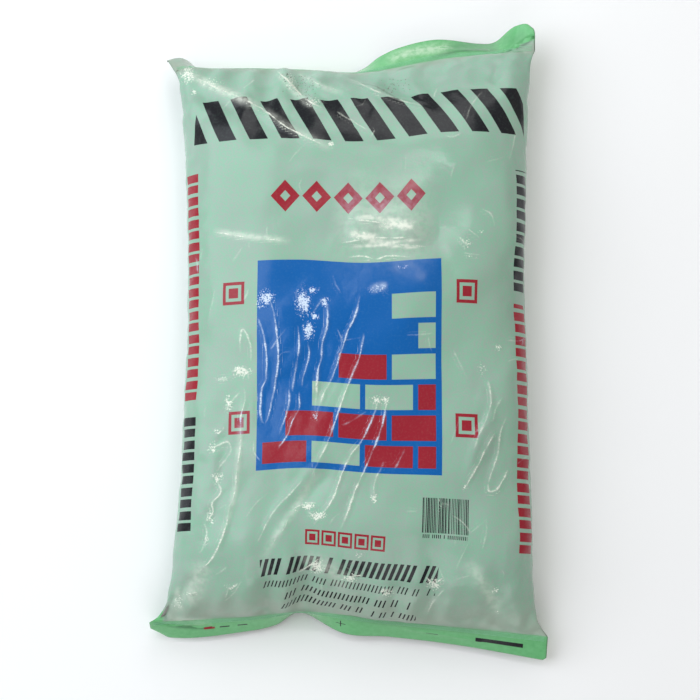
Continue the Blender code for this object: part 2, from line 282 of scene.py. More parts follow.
# Where points of the bag show in the photograph's frame
def placesInPhoto(points):
    elevation = math.radians(cameraSettings["elevation"])
    forwards = np.array([0, math.cos(elevation), -math.sin(elevation)])
    upwards = np.array([0, math.sin(elevation), math.cos(elevation)])
    eye = np.array(cameraSettings["target"]) - cameraSettings["distance"] * forwards
    away = points - eye
    scale = cameraSettings["distance"] / cameraSettings["metresPerPixel"] / (away @ forwards)
    middle = cameraSettings["pixels"] / 2
    return np.stack([middle + scale * away[..., 0], middle - scale * (away @ upwards)], -1)


# A smooth random field over the bag: waves between two lengths, added up
def waveField(random, points, shortest, longest, count=36):
    field = np.zeros(points.shape[:-1])
    for _ in range(count):
        heading = random.normal(size=3)
        number = math.tau / random.uniform(shortest, longest) / np.linalg.norm(heading)
        field += np.cos(points @ heading * number + random.uniform(0, math.tau))
    return field * math.sqrt(2 / count)


# Points a pixel apart along a smooth curve through the route
def smoothRoute(route):
    route = np.array(route, float)
    travelled = lengthAlong(route)
    at = np.linspace(0, travelled[-1], int(travelled[-1]) + 2)
    return np.stack([curveThrough(list(zip(travelled, column)), at) for column in route.T], -1)


# The places within three widths of a route, how far each lies to its side, and how far along it, from 0 to 1
def nearRoute(route, places, width, atOnce=4000, pastEnd=1.5):
    reach = 3 * width
    steps = smoothRoute(route)
    low, high = steps.min(0) - reach, steps.max(0) + reach
    near = np.nonzero(((places > low) & (places < high)).all(-1))[0]
    nearest = np.empty(len(near), int)
    for start in range(0, len(near), atOnce):
        part = places[near[start : start + atOnce]]
        nearest[start : start + atOnce] = ((part[:, None] - steps) ** 2).sum(-1).argmin(1)
    heading = np.gradient(steps, axis=0)
    heading = (heading / np.linalg.norm(heading, axis=-1, keepdims=True))[nearest]
    gap = places[near] - steps[nearest]
    aside = gap[:, 0] * heading[:, 1] - gap[:, 1] * heading[:, 0]
    past = np.abs((gap * heading).sum(-1)) > pastEnd
    kept = (np.abs(aside) < reach) & ~past
    return near[kept], aside[kept], nearest[kept] / (len(steps) - 1)


# Rises from 0 at each end of a route to 1 over a share of its length
def taper(along, run):
    return np.sin(np.clip(np.minimum(along, 1 - along) / run, 0, 1) * math.pi / 2)


# Soft folds and hollows of the filled film. A route is given in the photograph's pixels, about a
# millimetre each, after its height and half width in millimetres.
folds = {
    "lumps": {"seed": 5, "height": 0.0016, "shortest": 0.090, "longest": 0.170},
    "dents": {"seed": 8, "height": 0.0004, "shortest": 0.030, "longest": 0.055},
    "gathers": {"seeds": (6, 7), "height": 0.0016, "waves": range(14, 26), "rise": 0.008, "reach": 0.075},
    "flatNearFloor": 0.010,
    "flatAtWeld": 0.006,
    "evenAtSides": 0.050,
    "taper": 0.35,  # share of a route over which its fold rises from nothing
    "routes": {
        "shoulderHollow": (-5.5, 8, [(335, 70), (362, 78), (392, 88), (425, 104)]),
        "shoulderRidge": (2.4, 5, [(352, 80), (376, 91), (406, 102), (436, 110)]),
        "cornerRidge": (2.6, 6, [(184, 71), (212, 86), (243, 99), (285, 126), (329, 147)]),
        "cornerHollow": (-1.6, 8, [(190, 92), (214, 102), (240, 116)]),
        "topRidge": (2.2, 4.5, [(277, 70), (290, 83), (304, 98), (323, 108)]),
        "topHollow": (-2.2, 5, [(290, 72), (312, 90), (334, 104)]),
        "topLip": (1.8, 4, [(298, 74), (319, 84), (340, 91), (369, 112)]),
        "upperSwell": (2.0, 22, [(345, 228), (395, 232), (440, 232)]),
        "upperHollow": (-1.4, 12, [(340, 250), (400, 248), (450, 250)]),
        "lowerRidgeLeft": (1.3, 8, [(330, 440), (317, 464), (294, 490), (270, 520), (257, 544)]),
        "lowerRidgeRight": (1.2, 7, [(313, 500), (294, 512), (280, 532), (270, 550)]),
        "lowerHollow": (-1.6, 9, [(330, 470), (306, 500), (284, 520)]),
        "leftRidge": (1.3, 7, [(240, 440), (237, 470), (229, 509), (213, 557), (192, 581)]),
        "leftHollow": (-1.5, 7, [(226, 430), (222, 470), (212, 520), (200, 556)]),
        "leftSwell": (1.6, 14, [(214, 440), (210, 490), (200, 540)]),
        "cornerFold": (-2.2, 7, [(200, 570), (184, 590), (172, 612)]),
        "rightRidge": (1.5, 6, [(490, 390), (488, 418), (478, 440), (466, 484)]),
        "rightHollow": (-1.3, 7, [(502, 430), (494, 452), (486, 476)]),
        "notchHollow": (-4.0, 12, [(302, 612), (304, 592), (312, 570)]),
        "notchSwell": (2.0, 14, [(270, 612), (262, 590), (262, 570)]),
        "footHollow": (-2.0, 10, [(420, 618), (410, 600), (404, 580)]),
        "footSwell": (1.6, 16, [(470, 622), (462, 598), (458, 570)]),
        "earValley": (-3.0, 3.5, [(173, 594), (168, 606), (166, 619)]),
        "earFold": (-2.0, 5, [(513, 50), (500, 66), (492, 84)]),
    },
}


# How far the soft folds stand off the filled shape
def foldField(rings, weldToWeld):
    field = np.zeros(rings.shape[:2])
    tubePlaces = columnPlaces(grid["front"], grid["back"])
    fromSide = np.minimum(tubePlaces % film["width"], film["width"] - tubePlaces % film["width"])
    for name in ("lumps", "dents"):
        kind = folds[name]
        random = np.random.default_rng(kind["seed"])
        field += kind["height"] * waveField(random, rings, kind["shortest"], kind["longest"])
    field *= np.minimum(fromSide / folds["evenAtSides"], 1)
    along, fromWeld = alongFilm(rings, weldToWeld)
    gathers = folds["gathers"]
    aroundTube = tubePlaces / film["width"] * math.pi
    reach = bell(fromWeld, gathers["reach"]) * (1 - np.exp(-fromWeld / gathers["rise"]))
    for atTop, seed in enumerate(gathers["seeds"]):
        phases = np.random.default_rng(seed).uniform(0, math.tau, len(gathers["waves"]))
        waves = [np.cos(count * aroundTube + phase) for count, phase in zip(gathers["waves"], phases)]
        gathered = sum(waves) * gathers["height"] * math.sqrt(2 / len(waves)) * reach
        field += gathered * ((along > weldToWeld / 2) == atTop)
    shown = placesInPhoto(frontOf(rings)).reshape(-1, 2)
    added = np.zeros(len(shown))
    for height, width, route in folds["routes"].values():
        near, aside, share = nearRoute(route, shown, width)
        added[near] += mm * height * bell(aside, width) * taper(share, folds["taper"])
    frontOf(field)[:] += added.reshape(len(rings), -1)
    clearOfWeld = 1 - np.exp(-fromWeld / folds["flatAtWeld"])
    return field * clearOfWeld * np.minimum(rings[..., 2] / folds["flatNearFloor"], 1)


# Where the film is slack, so that it can buckle: middle, half width and half height in the photograph's
# pixels, and how slack. Elsewhere the mix stretches it.
slackPatches = [
    (222, 475, 30, 95, 0.55), (298, 370, 46, 75, 0.4), (315, 490, 42, 50, 0.5), (490, 435, 24, 60, 0.5),
    (250, 105, 75, 32, 0.5), (390, 95, 55, 24, 0.4), (395, 235, 60, 16, 0.35), (365, 590, 150, 26, 0.35),
]
# How slack it is at least, at the welds, at the side folds and over the back
slackness = {"least": 0.06, "atWeld": 0.6, "weldReach": 0.06, "atFold": 0.4, "back": 0.3}

simulation = {
    "seed": 9,
    "seedHeight": 0.0006,  # small waves to buckle from
    "seedWaves": 40,
    "shortest": 0.014,
    "longest": 0.040,
    "spread": (1, 0.45, 0.3),  # of their headings, so most are ridges that run up the bag
    "frames": 12,
    "hold": 0.3,  # how strongly the mix holds the film in its place
    "mostMove": 0.005,
    "cloth": {
        "quality": 5,
        "mass": 0.0002,  # of each point
        "tension_stiffness": 30.0,
        "compression_stiffness": 30.0,
        "shear_stiffness": 8.0,
        "bending_stiffness": 0.005,
        "vertex_group_mass": "hold",
        "pin_stiffness": 1.0,
        "vertex_group_shrink": "taut",
        "shrink_min": -0.02,  # the slackest film is this much longer than what it covers
        "shrink_max": 0.0,
        "use_pressure": True,
        "uniform_pressure_force": 0.5,
    },
}


def slackField(coarse, weldToWeld):
    _, fromWeld = alongFilm(coarse, weldToWeld)
    bodyHalf = curveThrough(bag["halfWidths"], coarse[..., 1])
    centre = curveThrough(bag["centreLine"], coarse[..., 1])
    # from 0 at four fifths of the way to the fold to 1 there
    towardsFold = np.clip(np.abs(coarse[..., 0] - centre) / bodyHalf * 5 - 4, 0, 1)
    atWeld = slackness["atWeld"] * bell(fromWeld, slackness["weldReach"])
    slack = slackness["least"] + atWeld + slackness["atFold"] * towardsFold
    slack = strongestPatch(slack, placesInPhoto(coarse), slackPatches)
    isBack = np.arange(coarse.shape[1]) > grid["front"] // 2
    return np.clip(np.where(isBack, np.maximum(slack, slackness["back"]), slack), 0, 1)


# Averages each value with its neighbours, round the bag and along it
def smoothed(values):
    values = (np.roll(values, 1, 1) + 2 * values + np.roll(values, -1, 1)) / 4
    values[1:-1] = (values[:-2] + 2 * values[1:-1] + values[2:]) / 4
    return values


# The film is cloth with a little spare length, held in place by the mix, so its slack parts buckle
def simulateFilm(rings, weldToWeld):
    coarse = rings[::2]
    coarse = np.concatenate([coarse[:, : grid["front"] : 2], coarse[:, grid["front"] :]], 1)
    rowCount, columnCount = coarse.shape[:2]
    slack = slackField(coarse, weldToWeld)
    random = np.random.default_rng(simulation["seed"])
    seeds = np.zeros(slack.shape)
    for _ in range(simulation["seedWaves"]):
        heading = random.normal(size=3) * simulation["spread"]
        length = random.uniform(simulation["shortest"], simulation["longest"])
        phases = coarse @ heading * math.tau / length / np.linalg.norm(heading)
        seeds += np.cos(phases + random.uniform(0, math.tau))
    seeds *= slack * simulation["seedHeight"] * math.sqrt(2 / simulation["seedWaves"])
    seeds[[0, -1]] = 0
    start = coarse + surfaceNormals(coarse) * seeds[..., None]

    obj = meshObject("filmCloth", start, ringFaces(rowCount, columnCount))
    pointCount = rowCount * columnCount
    hold = obj.vertex_groups.new(name="hold")
    hold.add(range(pointCount), simulation["hold"], "REPLACE")
    lastRow = pointCount - columnCount
    hold.add([*range(columnCount), *range(lastRow, pointCount)], 1.0, "REPLACE")
    taut = obj.vertex_groups.new(name="taut")
    for point, amount in enumerate((1 - slack).ravel().tolist()):
        taut.add([point], amount, "REPLACE")

    cloth = obj.modifiers.new("cloth", "CLOTH")
    for name, value in simulation["cloth"].items():
        setattr(cloth.settings, name, value)
    cloth.settings.effector_weights.gravity = 0
    cloth.collision_settings.use_collision = False
    cloth.point_cache.frame_start = 1
    cloth.point_cache.frame_end = simulation["frames"]
    for step in range(1, simulation["frames"] + 1):
        bpy.context.scene.frame_set(step)
    settled = obj.evaluated_get(bpy.context.evaluated_depsgraph_get())
    points = np.empty(pointCount * 3, np.float32)
    settled.data.vertices.foreach_get("co", points)
    moves = smoothed(points.reshape(coarse.shape).astype(float) - coarse)
    bpy.context.scene.frame_set(1)
    bpy.data.objects.remove(obj)
    size = np.linalg.norm(moves, axis=-1, keepdims=True)
    print("  the film moved %.1f mm on average and %.1f mm at most" % (1000 * size.mean(), 1000 * size.max()))
    return moves * np.minimum(1, simulation["mostMove"] / np.maximum(size, 1e-9))


# Doubles the number of steps along one axis, on a smooth curve through the values
def doubleUp(values, axis):
    values = np.moveaxis(values, axis, 0)
    padded = np.concatenate([2 * values[:1] - values[1:2], values, 2 * values[-1:] - values[-2:-1]])
    made = np.empty((2 * len(values) - 1,) + values.shape[1:])
    made[::2] = values
    made[1::2] = (9 * (padded[1:-2] + padded[2:-1]) - padded[:-3] - padded[3:]) / 16
    return np.moveaxis(made, 0, axis)


def addSimulation(rings, moves):
    half = grid["front"] // 2
    frontMoves = doubleUp(moves[:, : half + 1], 1)[:, :-1]
    return rings + doubleUp(np.concatenate([frontMoves, moves[:, half:]], 1), 0)


# A corner of the skirt that has rolled under, round a line across the corner
def curlCorner(points, end, outwards, upwards, step, corner):
    places = columnPlaces(grid["front"], grid["back"])
    fromLeft = np.minimum(places, 2 * film["width"] - places)
    fromFold = fromLeft if corner == 0 else film["width"] - fromLeft
    fromCorner = (fromFold + film["skirt"] - step) / math.sqrt(2)
    past = np.maximum(end["curls"][corner] - fromCorner, 0)[:, None]
    radius = end["curls"][corner] / 2
    sideways = np.array([-1.0 if corner == 0 else 1.0, 0, 0])
    diagonal = (outwards + sideways) / math.sqrt(2)
    turned = past / radius
    return points + diagonal * (radius * np.sin(turned) - past) - upwards * radius * (1 - np.cos(turned))


# How far the folds pressed into a skirt stand off it
def pleatField(end, x, step):
    field = np.zeros_like(x)
    for height, width, start, stop in end["pleats"]:
        start, run = np.array(start), np.array(stop) - start
        gap = np.stack([x, np.full_like(x, step)], -1) - start
        share = np.clip(gap @ run / (run @ run), 0, 1)
        away = 1000 * np.linalg.norm(gap - share[:, None] * run, axis=-1)
        field += mm * height * bell(away, width)
    return field


# One ring of a skirt, a given step beyond the weld. The skirt is two layers of film that part towards
# the cut edge, and each layer has an outer and an inner face.
def skirtRing(end, weldRing, step, face):
    x = weldRing[:, 0]
    across, slope = acrossWeld(end, x)
    outwards = np.stack([0 * x, end["facing"] * np.cos(slope), -np.sin(slope)], -1)
    upwards = np.stack([0 * x, end["facing"] * np.sin(slope), np.cos(slope)], -1)
    side = np.where(np.arange(len(x)) <= grid["front"], 1.0, -1.0)
    side[[0, grid["front"]]] = 0
    parted = mm / 2 * curveThrough(end["parting"], across) * (step / film["skirt"]) ** 2
    stand = side * (parted + film["gauge" if face == "outer" else "layerGap"])
    stand = stand + pleatField(end, x, step)
    points = weldPoint(end, x, step) + upwards * stand[:, None]
    if face == "outer":
        points[0, 0] -= film["gauge"]
        points[grid["front"], 0] += film["gauge"]
    leftLean = end["fans"][0] * np.clip(1 - (x - x[0]) / film["leanReach"], 0, 1) ** 2
    rightLean = end["fans"][1] * np.clip(1 - (x[grid["front"]] - x) / film["leanReach"], 0, 1) ** 2
    points[:, 0] += (rightLean - leftLean) * step / film["skirt"]
    for corner in (0, 1):
        points = curlCorner(points, end, outwards, upwards, step, corner)
    points[:, 2] = np.maximum(points[:, 2], 0)
    return points


# The rings of one face of a skirt, in order from the bag's bottom to its top
def skirtRows(end, weldRing, steps, face):
    return np.array([skirtRing(end, weldRing, step, face) for step in steps])[:: end["facing"]]


# Faces between the front and the back halves of a ring, which close it
def closingFaces(ring, front, back, flipped):
    perBack = front // back
    faces = []
    for k in range(back):
        near = ring + (front + back - k) % (front + back)
        far = ring + (front + back - k - 1)
        columns = range(perBack * k, perBack * (k + 1))
        made = [(near, ring + column, ring + column + 1) for column in columns]
        made.append((near, ring + perBack * (k + 1), far))
        faces += [face for face in made if len(set(face)) == 3]
    return [face[::-1] for face in faces] if flipped else faces


# Faces round all the rings, and across the first and the last
def tubeFaces(rowCount, front, back):
    faces = ringFaces(rowCount, front + back).tolist()
    faces += closingFaces(0, front, back, True)
    return faces + closingFaces((rowCount - 1) * (front + back), front, back, False)


# Sharp ridges where the film has creased: height and half width in millimetres, how white the line is, partly
# stress whitening and partly painted highlight, and the route in the photograph's pixels
creases = {
    "seed": 12,
    "reach": 4.0,  # pixels to each side that a crease is noted for
    "edge": 1.5,  # over which the white fades at that reach
    "groups": 3,  # sets of creases kept apart, so that neighbours don't cut each other off
    "relief": 0.5,  # how much of each height is raised
    "taper": 0.22,  # share of a route over which its crease rises from nothing
    "trough": 0.3,  # beside each ridge
    "unevenness": {"middle": 0.8, "swing": 0.35, "least": 0.25, "most": 1.2, "waves": (0.008, 0.020)},
    "faintest": 1e-4,  # marks a point as taken by a crease
    "routes": [
        # across the top
        (0.9, 2.4, 0.9, [(184, 71), (212, 86), (243, 99), (262, 109), (285, 126), (308, 138), (329, 147)]),
        (0.8, 2.2, 1.0, [(277, 71), (290, 83), (304, 98), (323, 108)]),
        (0.6, 2.2, 0.5, [(298, 74), (319, 84), (340, 91)]),
        (0.7, 2.4, 0.45, [(350, 79), (376, 91), (406, 102), (425, 106)]),
        (0.4, 2.0, 0.4, [(336, 111), (352, 121), (369, 131)]),
        # across the gleam above the panel
        (0.5, 2.2, 0.8, [(214, 232), (246, 237), (290, 241)]),
        (0.6, 2.6, 0.9, [(346, 218), (376, 222), (400, 226), (420, 230)]),
        (0.6, 2.6, 0.8, [(340, 243), (377, 238), (394, 238), (411, 236), (417, 230)]),
        (0.4, 2.2, 0.5, [(372, 243), (404, 245), (430, 247)]),
        (0.5, 2.2, 0.9, [(348, 257), (363, 256), (376, 259), (388, 256), (412, 257)]),
        # right of the gleam
        (0.4, 2.0, 0.5, [(459, 237), (468, 246)]),
        (0.4, 2.0, 0.4, [(468, 229), (480, 238)]),
        (0.4, 2.0, 0.4, [(464, 253), (480, 255)]),
        # the loop on the panel's left
        (0.8, 2.2, 0.9, [
            (257, 316), (263, 332), (266, 350), (266, 379), (262, 388), (260.5, 409), (262, 421),
            (265, 424),
        ]),
        (0.8, 2.2, 0.9, [
            (265, 424), (268, 418), (272, 400), (278, 365), (278, 349), (276, 326), (272, 306), (268, 296),
        ]),
        # through the panel
        (0.6, 2.0, 0.6, [(298, 326), (299, 347), (294, 378), (292, 392)]),
        (0.6, 2.0, 0.6, [(308, 342), (309, 356), (303, 378), (302, 387)]),
        (0.9, 2.2, 0.9, [
            (313, 312), (323, 300), (327, 305), (327, 326), (322, 344), (321, 358), (318, 371), (316, 398),
            (315, 414),
        ]),
        (0.9, 2.2, 0.9, [
            (360, 296), (355, 316), (347, 333), (342, 349), (332, 378), (324, 393), (315, 418),
        ]),
        (1.0, 2.2, 0.95, [
            (364, 333), (360, 355), (352, 375), (346, 390), (339, 410), (330, 436), (326, 446), (317, 464),
            (311, 477),
        ]),
        (0.6, 2.0, 0.7, [(289, 388), (289, 403), (285, 418), (279, 434)]),
        (0.6, 2.0, 0.8, [(299, 392), (299, 408), (292, 422), (288, 434), (278, 448)]),
        # below the panel
        (0.9, 2.2, 0.8, [
            (388, 396), (378, 402), (375, 412), (369, 426), (362, 440), (350, 456), (341, 476), (334, 496),
            (326, 509), (313, 526),
        ]),
        (0.9, 2.2, 0.8, [
            (388, 396), (386, 407), (381, 429), (371, 455), (364, 471), (355, 491), (347, 514), (340, 530),
        ]),
        (0.3, 1.8, 0.4, [(366, 397), (367, 409)]),
        # up the left side
        (0.6, 2.2, 0.5, [(240, 354), (241, 331), (243, 329), (248, 337), (251, 350), (251, 362)]),
        (0.7, 2.6, 0.7, [(231, 372), (241, 369), (247, 371), (249, 379)]),
        (0.4, 2.0, 0.4, [(218, 380), (233, 377)]),
        (1.0, 2.4, 0.8, [
            (241, 386), (245, 391), (244, 404), (241, 417), (240, 449), (237, 468), (235, 491), (229, 509),
            (226, 526), (213, 557), (201, 570), (190, 583),
        ]),
        (0.7, 2.4, 0.8, [(240, 392), (231, 402), (224, 413)]),
        (0.4, 2.0, 0.5, [(224, 427), (219, 434)]),
        (0.8, 2.4, 0.7, [
            (208, 450), (219, 445), (228, 442), (231, 450), (226, 459), (219, 468), (215, 479),
        ]),
        (0.8, 2.4, 0.8, [
            (215, 479), (221, 489), (219, 495), (212, 503), (213, 512), (208, 519), (204, 523),
        ]),
        (0.8, 2.4, 0.7, [(204, 523), (207, 532), (206, 541), (200, 553)]),
        # up the right side
        (0.8, 2.4, 0.6, [(488, 380), (491, 397), (490, 408), (486, 420), (479, 435), (474, 449)]),
        (0.8, 2.4, 0.7, [(495, 432), (485, 450), (479, 463), (471, 477), (465, 488)]),
        (0.6, 2.2, 0.5, [(506, 417), (500, 434), (498, 453), (492, 471), (488, 484)]),
        (0.9, 3.0, 0.9, [(488, 484), (489, 491), (496, 490), (503, 480), (508, 469)]),
        # low on the front
        (0.5, 2.4, 0.7, [(305, 503), (317, 503)]),
        (0.6, 2.6, 0.7, [(308, 512), (317, 517)]),
        (0.5, 2.4, 0.4, [(304, 478), (290, 494), (277, 507), (267, 523), (257, 543)]),
        (0.6, 2.4, 0.5, [(310, 502), (294, 509), (284, 528), (276, 538), (270, 548)]),
        # near the bottom weld
        (0.7, 3.4, 0.9, [(298, 572), (307, 567), (317, 560), (322, 556)]),
        (0.6, 3.0, 0.8, [(340, 580), (350, 577), (362, 575)]),
        (0.7, 3.4, 0.9, [(426, 577), (434, 583), (443, 578)]),
        (0.5, 2.6, 0.7, [(380, 592), (390, 590)]),
        (0.5, 2.4, 0.5, [(228, 590), (238, 584)]),
        (0.5, 2.4, 0.5, [(188, 594), (198, 592)]),
        (0.5, 2.4, 0.5, [(484, 595), (496, 588)]),
        # in the middle of the front
        (0.6, 3.0, 0.4, [(374, 500), (375, 482), (384, 462)]),
    ],
    # short faint creases strewn over the rest of the film, their lengths in pixels
    "strewn": {
        "count": 70, "across": (185, 530), "down": (80, 610), "shortest": 8, "longest": 34,
        "heading": 112, "turn": 38, "bend": 0.35, "height": 0.35, "width": 2.0, "white": 0.3, "faintest": 0.3,
    },
}


def strewnRoutes(random):
    strewn = creases["strewn"]
    for _ in range(strewn["count"]):
        middle = np.array([random.uniform(*strewn["across"]), random.uniform(*strewn["down"])])
        length = random.uniform(strewn["shortest"], strewn["longest"])
        heading = random.normal(math.radians(strewn["heading"]), math.radians(strewn["turn"]))
        bend = random.normal(0, strewn["bend"])
        route = []
        for share in (-0.5, 0, 0.5):
            turned = heading + bend * share
            route.append(middle + share * length * np.array([math.cos(turned), math.sin(turned)]))
        faint = random.uniform(strewn["faintest"], 1.0)
        yield strewn["height"] * faint, strewn["width"], strewn["white"] * faint, route


# Raises the creases, and notes how far each point lies from one, and how white the film is there
def creaseFilm(outer):
    random = np.random.default_rng(creases["seed"])
    front = frontOf(outer)
    uneven = creases["unevenness"]
    shown = placesInPhoto(front).reshape(-1, 2)
    raised = np.zeros(len(shown))
    aside = np.full((creases["groups"], len(shown)), creases["reach"])
    white = np.zeros((creases["groups"], len(shown)))
    ripple = waveField(random, front, *uneven["waves"]).ravel()
    for height, width, whiteness, route in [*creases["routes"], *strewnRoutes(random)]:
        near, gap, share = nearRoute(route, shown, width)
        waver = uneven["middle"] + uneven["swing"] * ripple[near]
        strength = taper(share, creases["taper"]) * np.clip(waver, uneven["least"], uneven["most"])
        rise = bell(gap, width) - creases["trough"] * bell(np.abs(gap) - 2 * width, width)
        raised[near] += mm * creases["relief"] * height * strength * rise
        close = np.abs(gap) < creases["reach"]
        near, gap, strength = near[close], gap[close], strength[close]
        taken = [(white[group][near] > 0).mean() if len(near) else 0 for group in range(creases["groups"])]
        group = int(np.argmin(taken))
        aside[group][near] = gap
        edge = np.clip((creases["reach"] - np.abs(gap)) / creases["edge"], 0, 1)
        white[group][near] = np.maximum(whiteness * strength * edge, creases["faintest"])
    front += frontOf(surfaceNormals(outer)) * raised.reshape(front.shape[:2] + (1,))
    return aside, white


# Patches where the film is finely crumpled, crazed in relief and strewn with painted glints: middle, half
# width and half height in the photograph's pixels, and how strongly
crumples = [
    (188, 75, 7, 7, 0.9), (194, 92, 2.5, 2.5, 1.0), (210, 82, 12, 4, 0.5), (290, 82, 5, 8, 0.6),
    (312, 102, 8, 4, 0.6), (331, 144, 3, 3, 0.9), (266, 298, 7, 7, 1.0), (259, 305, 4, 3, 0.7),
    (303, 302, 7, 12, 1.0), (313, 290, 5, 4, 0.7), (309, 330, 5, 9, 1.0), (325, 302, 4, 5, 0.8),
    (315, 316, 4, 4, 0.8), (315, 416, 3, 4, 0.8), (377, 400, 8, 5, 0.5), (386, 400, 3, 4, 0.8),
    (378, 288, 9, 4, 0.6), (403, 267, 6, 2, 0.5), (242, 372, 8, 5, 0.9), (223, 379, 9, 2, 0.5),
    (229, 403, 4, 8, 0.8), (219, 432, 6, 3, 0.6), (213, 448, 5, 7, 0.5), (217, 478, 5, 5, 0.9),
    (210, 518, 4, 8, 0.6), (206, 540, 3, 6, 0.4), (308, 506, 8, 3, 0.8), (295, 509, 3, 2, 0.7),
    (318, 516, 8, 4, 0.8), (362, 236, 12, 6, 0.6), (396, 225, 22, 6, 0.45), (466, 244, 5, 5, 0.5),
    (480, 233, 4, 3, 0.4), (470, 256, 6, 2, 0.5), (317, 567, 7, 6, 0.9), (350, 578, 8, 4, 0.7),
    (387, 592, 6, 4, 0.7), (435, 584, 7, 5, 0.9), (360, 555, 7, 4, 0.3), (230, 587, 6, 3, 0.5),
    (190, 594, 7, 2, 0.6), (177, 602, 6, 8, 0.4), (496, 590, 4, 3, 0.7), (497, 612, 1.5, 1.5, 1.0),
    (498, 348, 3, 3, 0.7), (482, 369, 4, 6, 0.5), (374, 498, 3, 4, 0.8), (465, 488, 3, 3, 0.8),
    (440, 505, 3, 8, 0.3),
]


# One value for each point of the sack: the skirts' inner rows and the columns that are missing get a constant
def everywhere(values, constant=0.0):
    missing = grid["front"] + grid["back"] - values.shape[1]
    return np.pad(values, ((grid["innerRows"], grid["innerRows"]), (0, missing)), constant_values=constant)


def addAttribute(mesh, name, values, kind="FLOAT"):
    attribute = mesh.attributes.new(name, kind, "POINT")
    field = "vector" if kind == "FLOAT_VECTOR" else "value"
    attribute.data.foreach_set(field, np.asarray(values, np.float32).ravel())


# The tube's flat lay, in metres, and the same spread over a square for the baked maps, in which the front
# takes up more than half
def addMaps(mesh, rowHeights, bakeHeights, frontShare=0.66):
    columns = grid["front"] + grid["back"]
    corner = np.empty(len(mesh.loops), np.int64)
    mesh.loops.foreach_get("vertex_index", corner)
    starts = np.empty(len(mesh.polygons), np.int64)
    mesh.polygons.foreach_get("loop_start", starts)
    face = np.searchsorted(starts, np.arange(len(mesh.loops)), side="right") - 1
    row, column = corner // columns, corner % columns
    across = np.append(columnPlaces(grid["front"], grid["back"]), 2 * film["width"])
    inBack = np.zeros(len(mesh.polygons), bool)
    np.logical_or.at(inBack, face, column > grid["front"])
    wraps = inBack[face] & (column == 0)
    place = across[np.where(wraps, columns, column)]
    share = place / film["width"]
    spread = np.where(share < 1, share * frontShare, frontShare + (share - 1) * (1 - frontShare))
    for name, u, v in (("filmFlat", place, rowHeights[row]), ("OFBake", spread, bakeHeights[row])):
        layer = mesh.uv_layers.new(name=name)
        layer.data.foreach_set("uv", np.stack([u, v], -1).astype(np.float32).ravel())


# Painted shade in the folds, along the skirts' roots and down the shaded right side: how dark, the half
# width, and the route in the photograph's pixels
paintedShadeRoutes = [
    (0.75, 1.5, [(512, 51), (524, 45), (534, 38)]),
    (0.75, 2.4, [(425, 60), (450, 53), (475, 50), (508, 51)]),
    (0.50, 6.0, [(440, 50), (470, 46), (505, 45)]),
    (0.28, 7.0, [(500, 46), (515, 40), (528, 34)]),
    (0.16, 13.0, [(507, 262), (505, 300), (510, 350)]),
    (0.70, 1.5, [(169, 604), (166, 612), (166, 622)]),
    (0.90, 1.7, [(165, 625), (185, 627), (216, 628)]),
    (0.35, 3.5, [(285, 614), (300, 611), (318, 613)]),
    (0.45, 3.2, [(330, 616), (402, 624), (466, 630), (508, 635)]),
    (0.30, 2.6, [(200, 621), (250, 618), (290, 614)]),
    (0.22, 7.0, [(310, 77), (350, 80), (392, 90), (430, 107)]),
    (0.20, 6.0, [(186, 92), (214, 104), (250, 122)]),
]

# Painted sheen and highlights, in wisps and broad glows over the film: how strong, the half width, and the
# route
paintedSheenRoutes = [
    (0.60, 4.0, [(182, 69), (200, 80), (230, 94), (262, 108)]),
    (0.32, 3.2, [(262, 108), (285, 124), (310, 138), (334, 150)]),
    (0.40, 3.6, [(277, 71), (292, 88), (305, 100), (318, 108)]),
    (0.32, 2.6, [(298, 74), (320, 85), (345, 94)]),
    (0.80, 2.6, [(348, 219), (365, 217), (382, 219), (421, 222)]),
    (1.00, 5.0, [(376, 224), (396, 224), (418, 228)]),
    (0.95, 4.6, [(347, 233), (362, 236), (384, 239)]),
    (0.24, 36.0, [(330, 210), (390, 222), (440, 222)]),
    (0.90, 2.2, [(362, 241), (392, 242), (423, 239)]),
    (0.95, 2.0, [(348, 247), (380, 245), (426, 248)]),
    (0.50, 3.0, [(212, 231), (246, 236), (292, 241)]),
    (0.55, 3.4, [(370, 290), (380, 286), (388, 286)]),
    (0.30, 3.0, [(243, 395), (240, 440), (233, 500), (220, 540)]),
    (0.30, 4.0, [(318, 470), (300, 500), (276, 536), (262, 560)]),
    (0.30, 3.0, [(180, 585), (176, 600), (182, 612)]),
    (0.45, 5.0, [(384, 62), (405, 54), (432, 49), (455, 47)]),
    (0.30, 3.0, [(166, 618), (190, 621), (214, 622)]),
    (0.35, 9.0, [(205, 560), (196, 585), (186, 606)]),
    (0.30, 8.0, [(300, 556), (330, 570), (352, 590)]),
    (0.30, 6.0, [(466, 560), (486, 588), (500, 616)]),
]


# How strongly each point lies in one of the routes
def routeField(front, routes, fade=0.3):
    shown = placesInPhoto(front).reshape(-1, 2)
    field = np.zeros(len(shown))
    for strength, width, route in routes:
        near, aside, share = nearRoute(route, shown, width)
        field[near] = np.maximum(field[near], strength * bell(aside, width) * taper(share, fade))
    return field.reshape(front.shape[:2])


print("filling the bag")
rings, weldToWeld = bagRings()
rings += surfaceNormals(rings) * foldField(rings, weldToWeld)[..., None]
rings[..., 2] = np.maximum(rings[..., 2], 0)
print("simulating the film")
rings = addSimulation(rings, simulateFilm(rings, weldToWeld))
rings[..., 2] = np.maximum(rings[..., 2], 0)

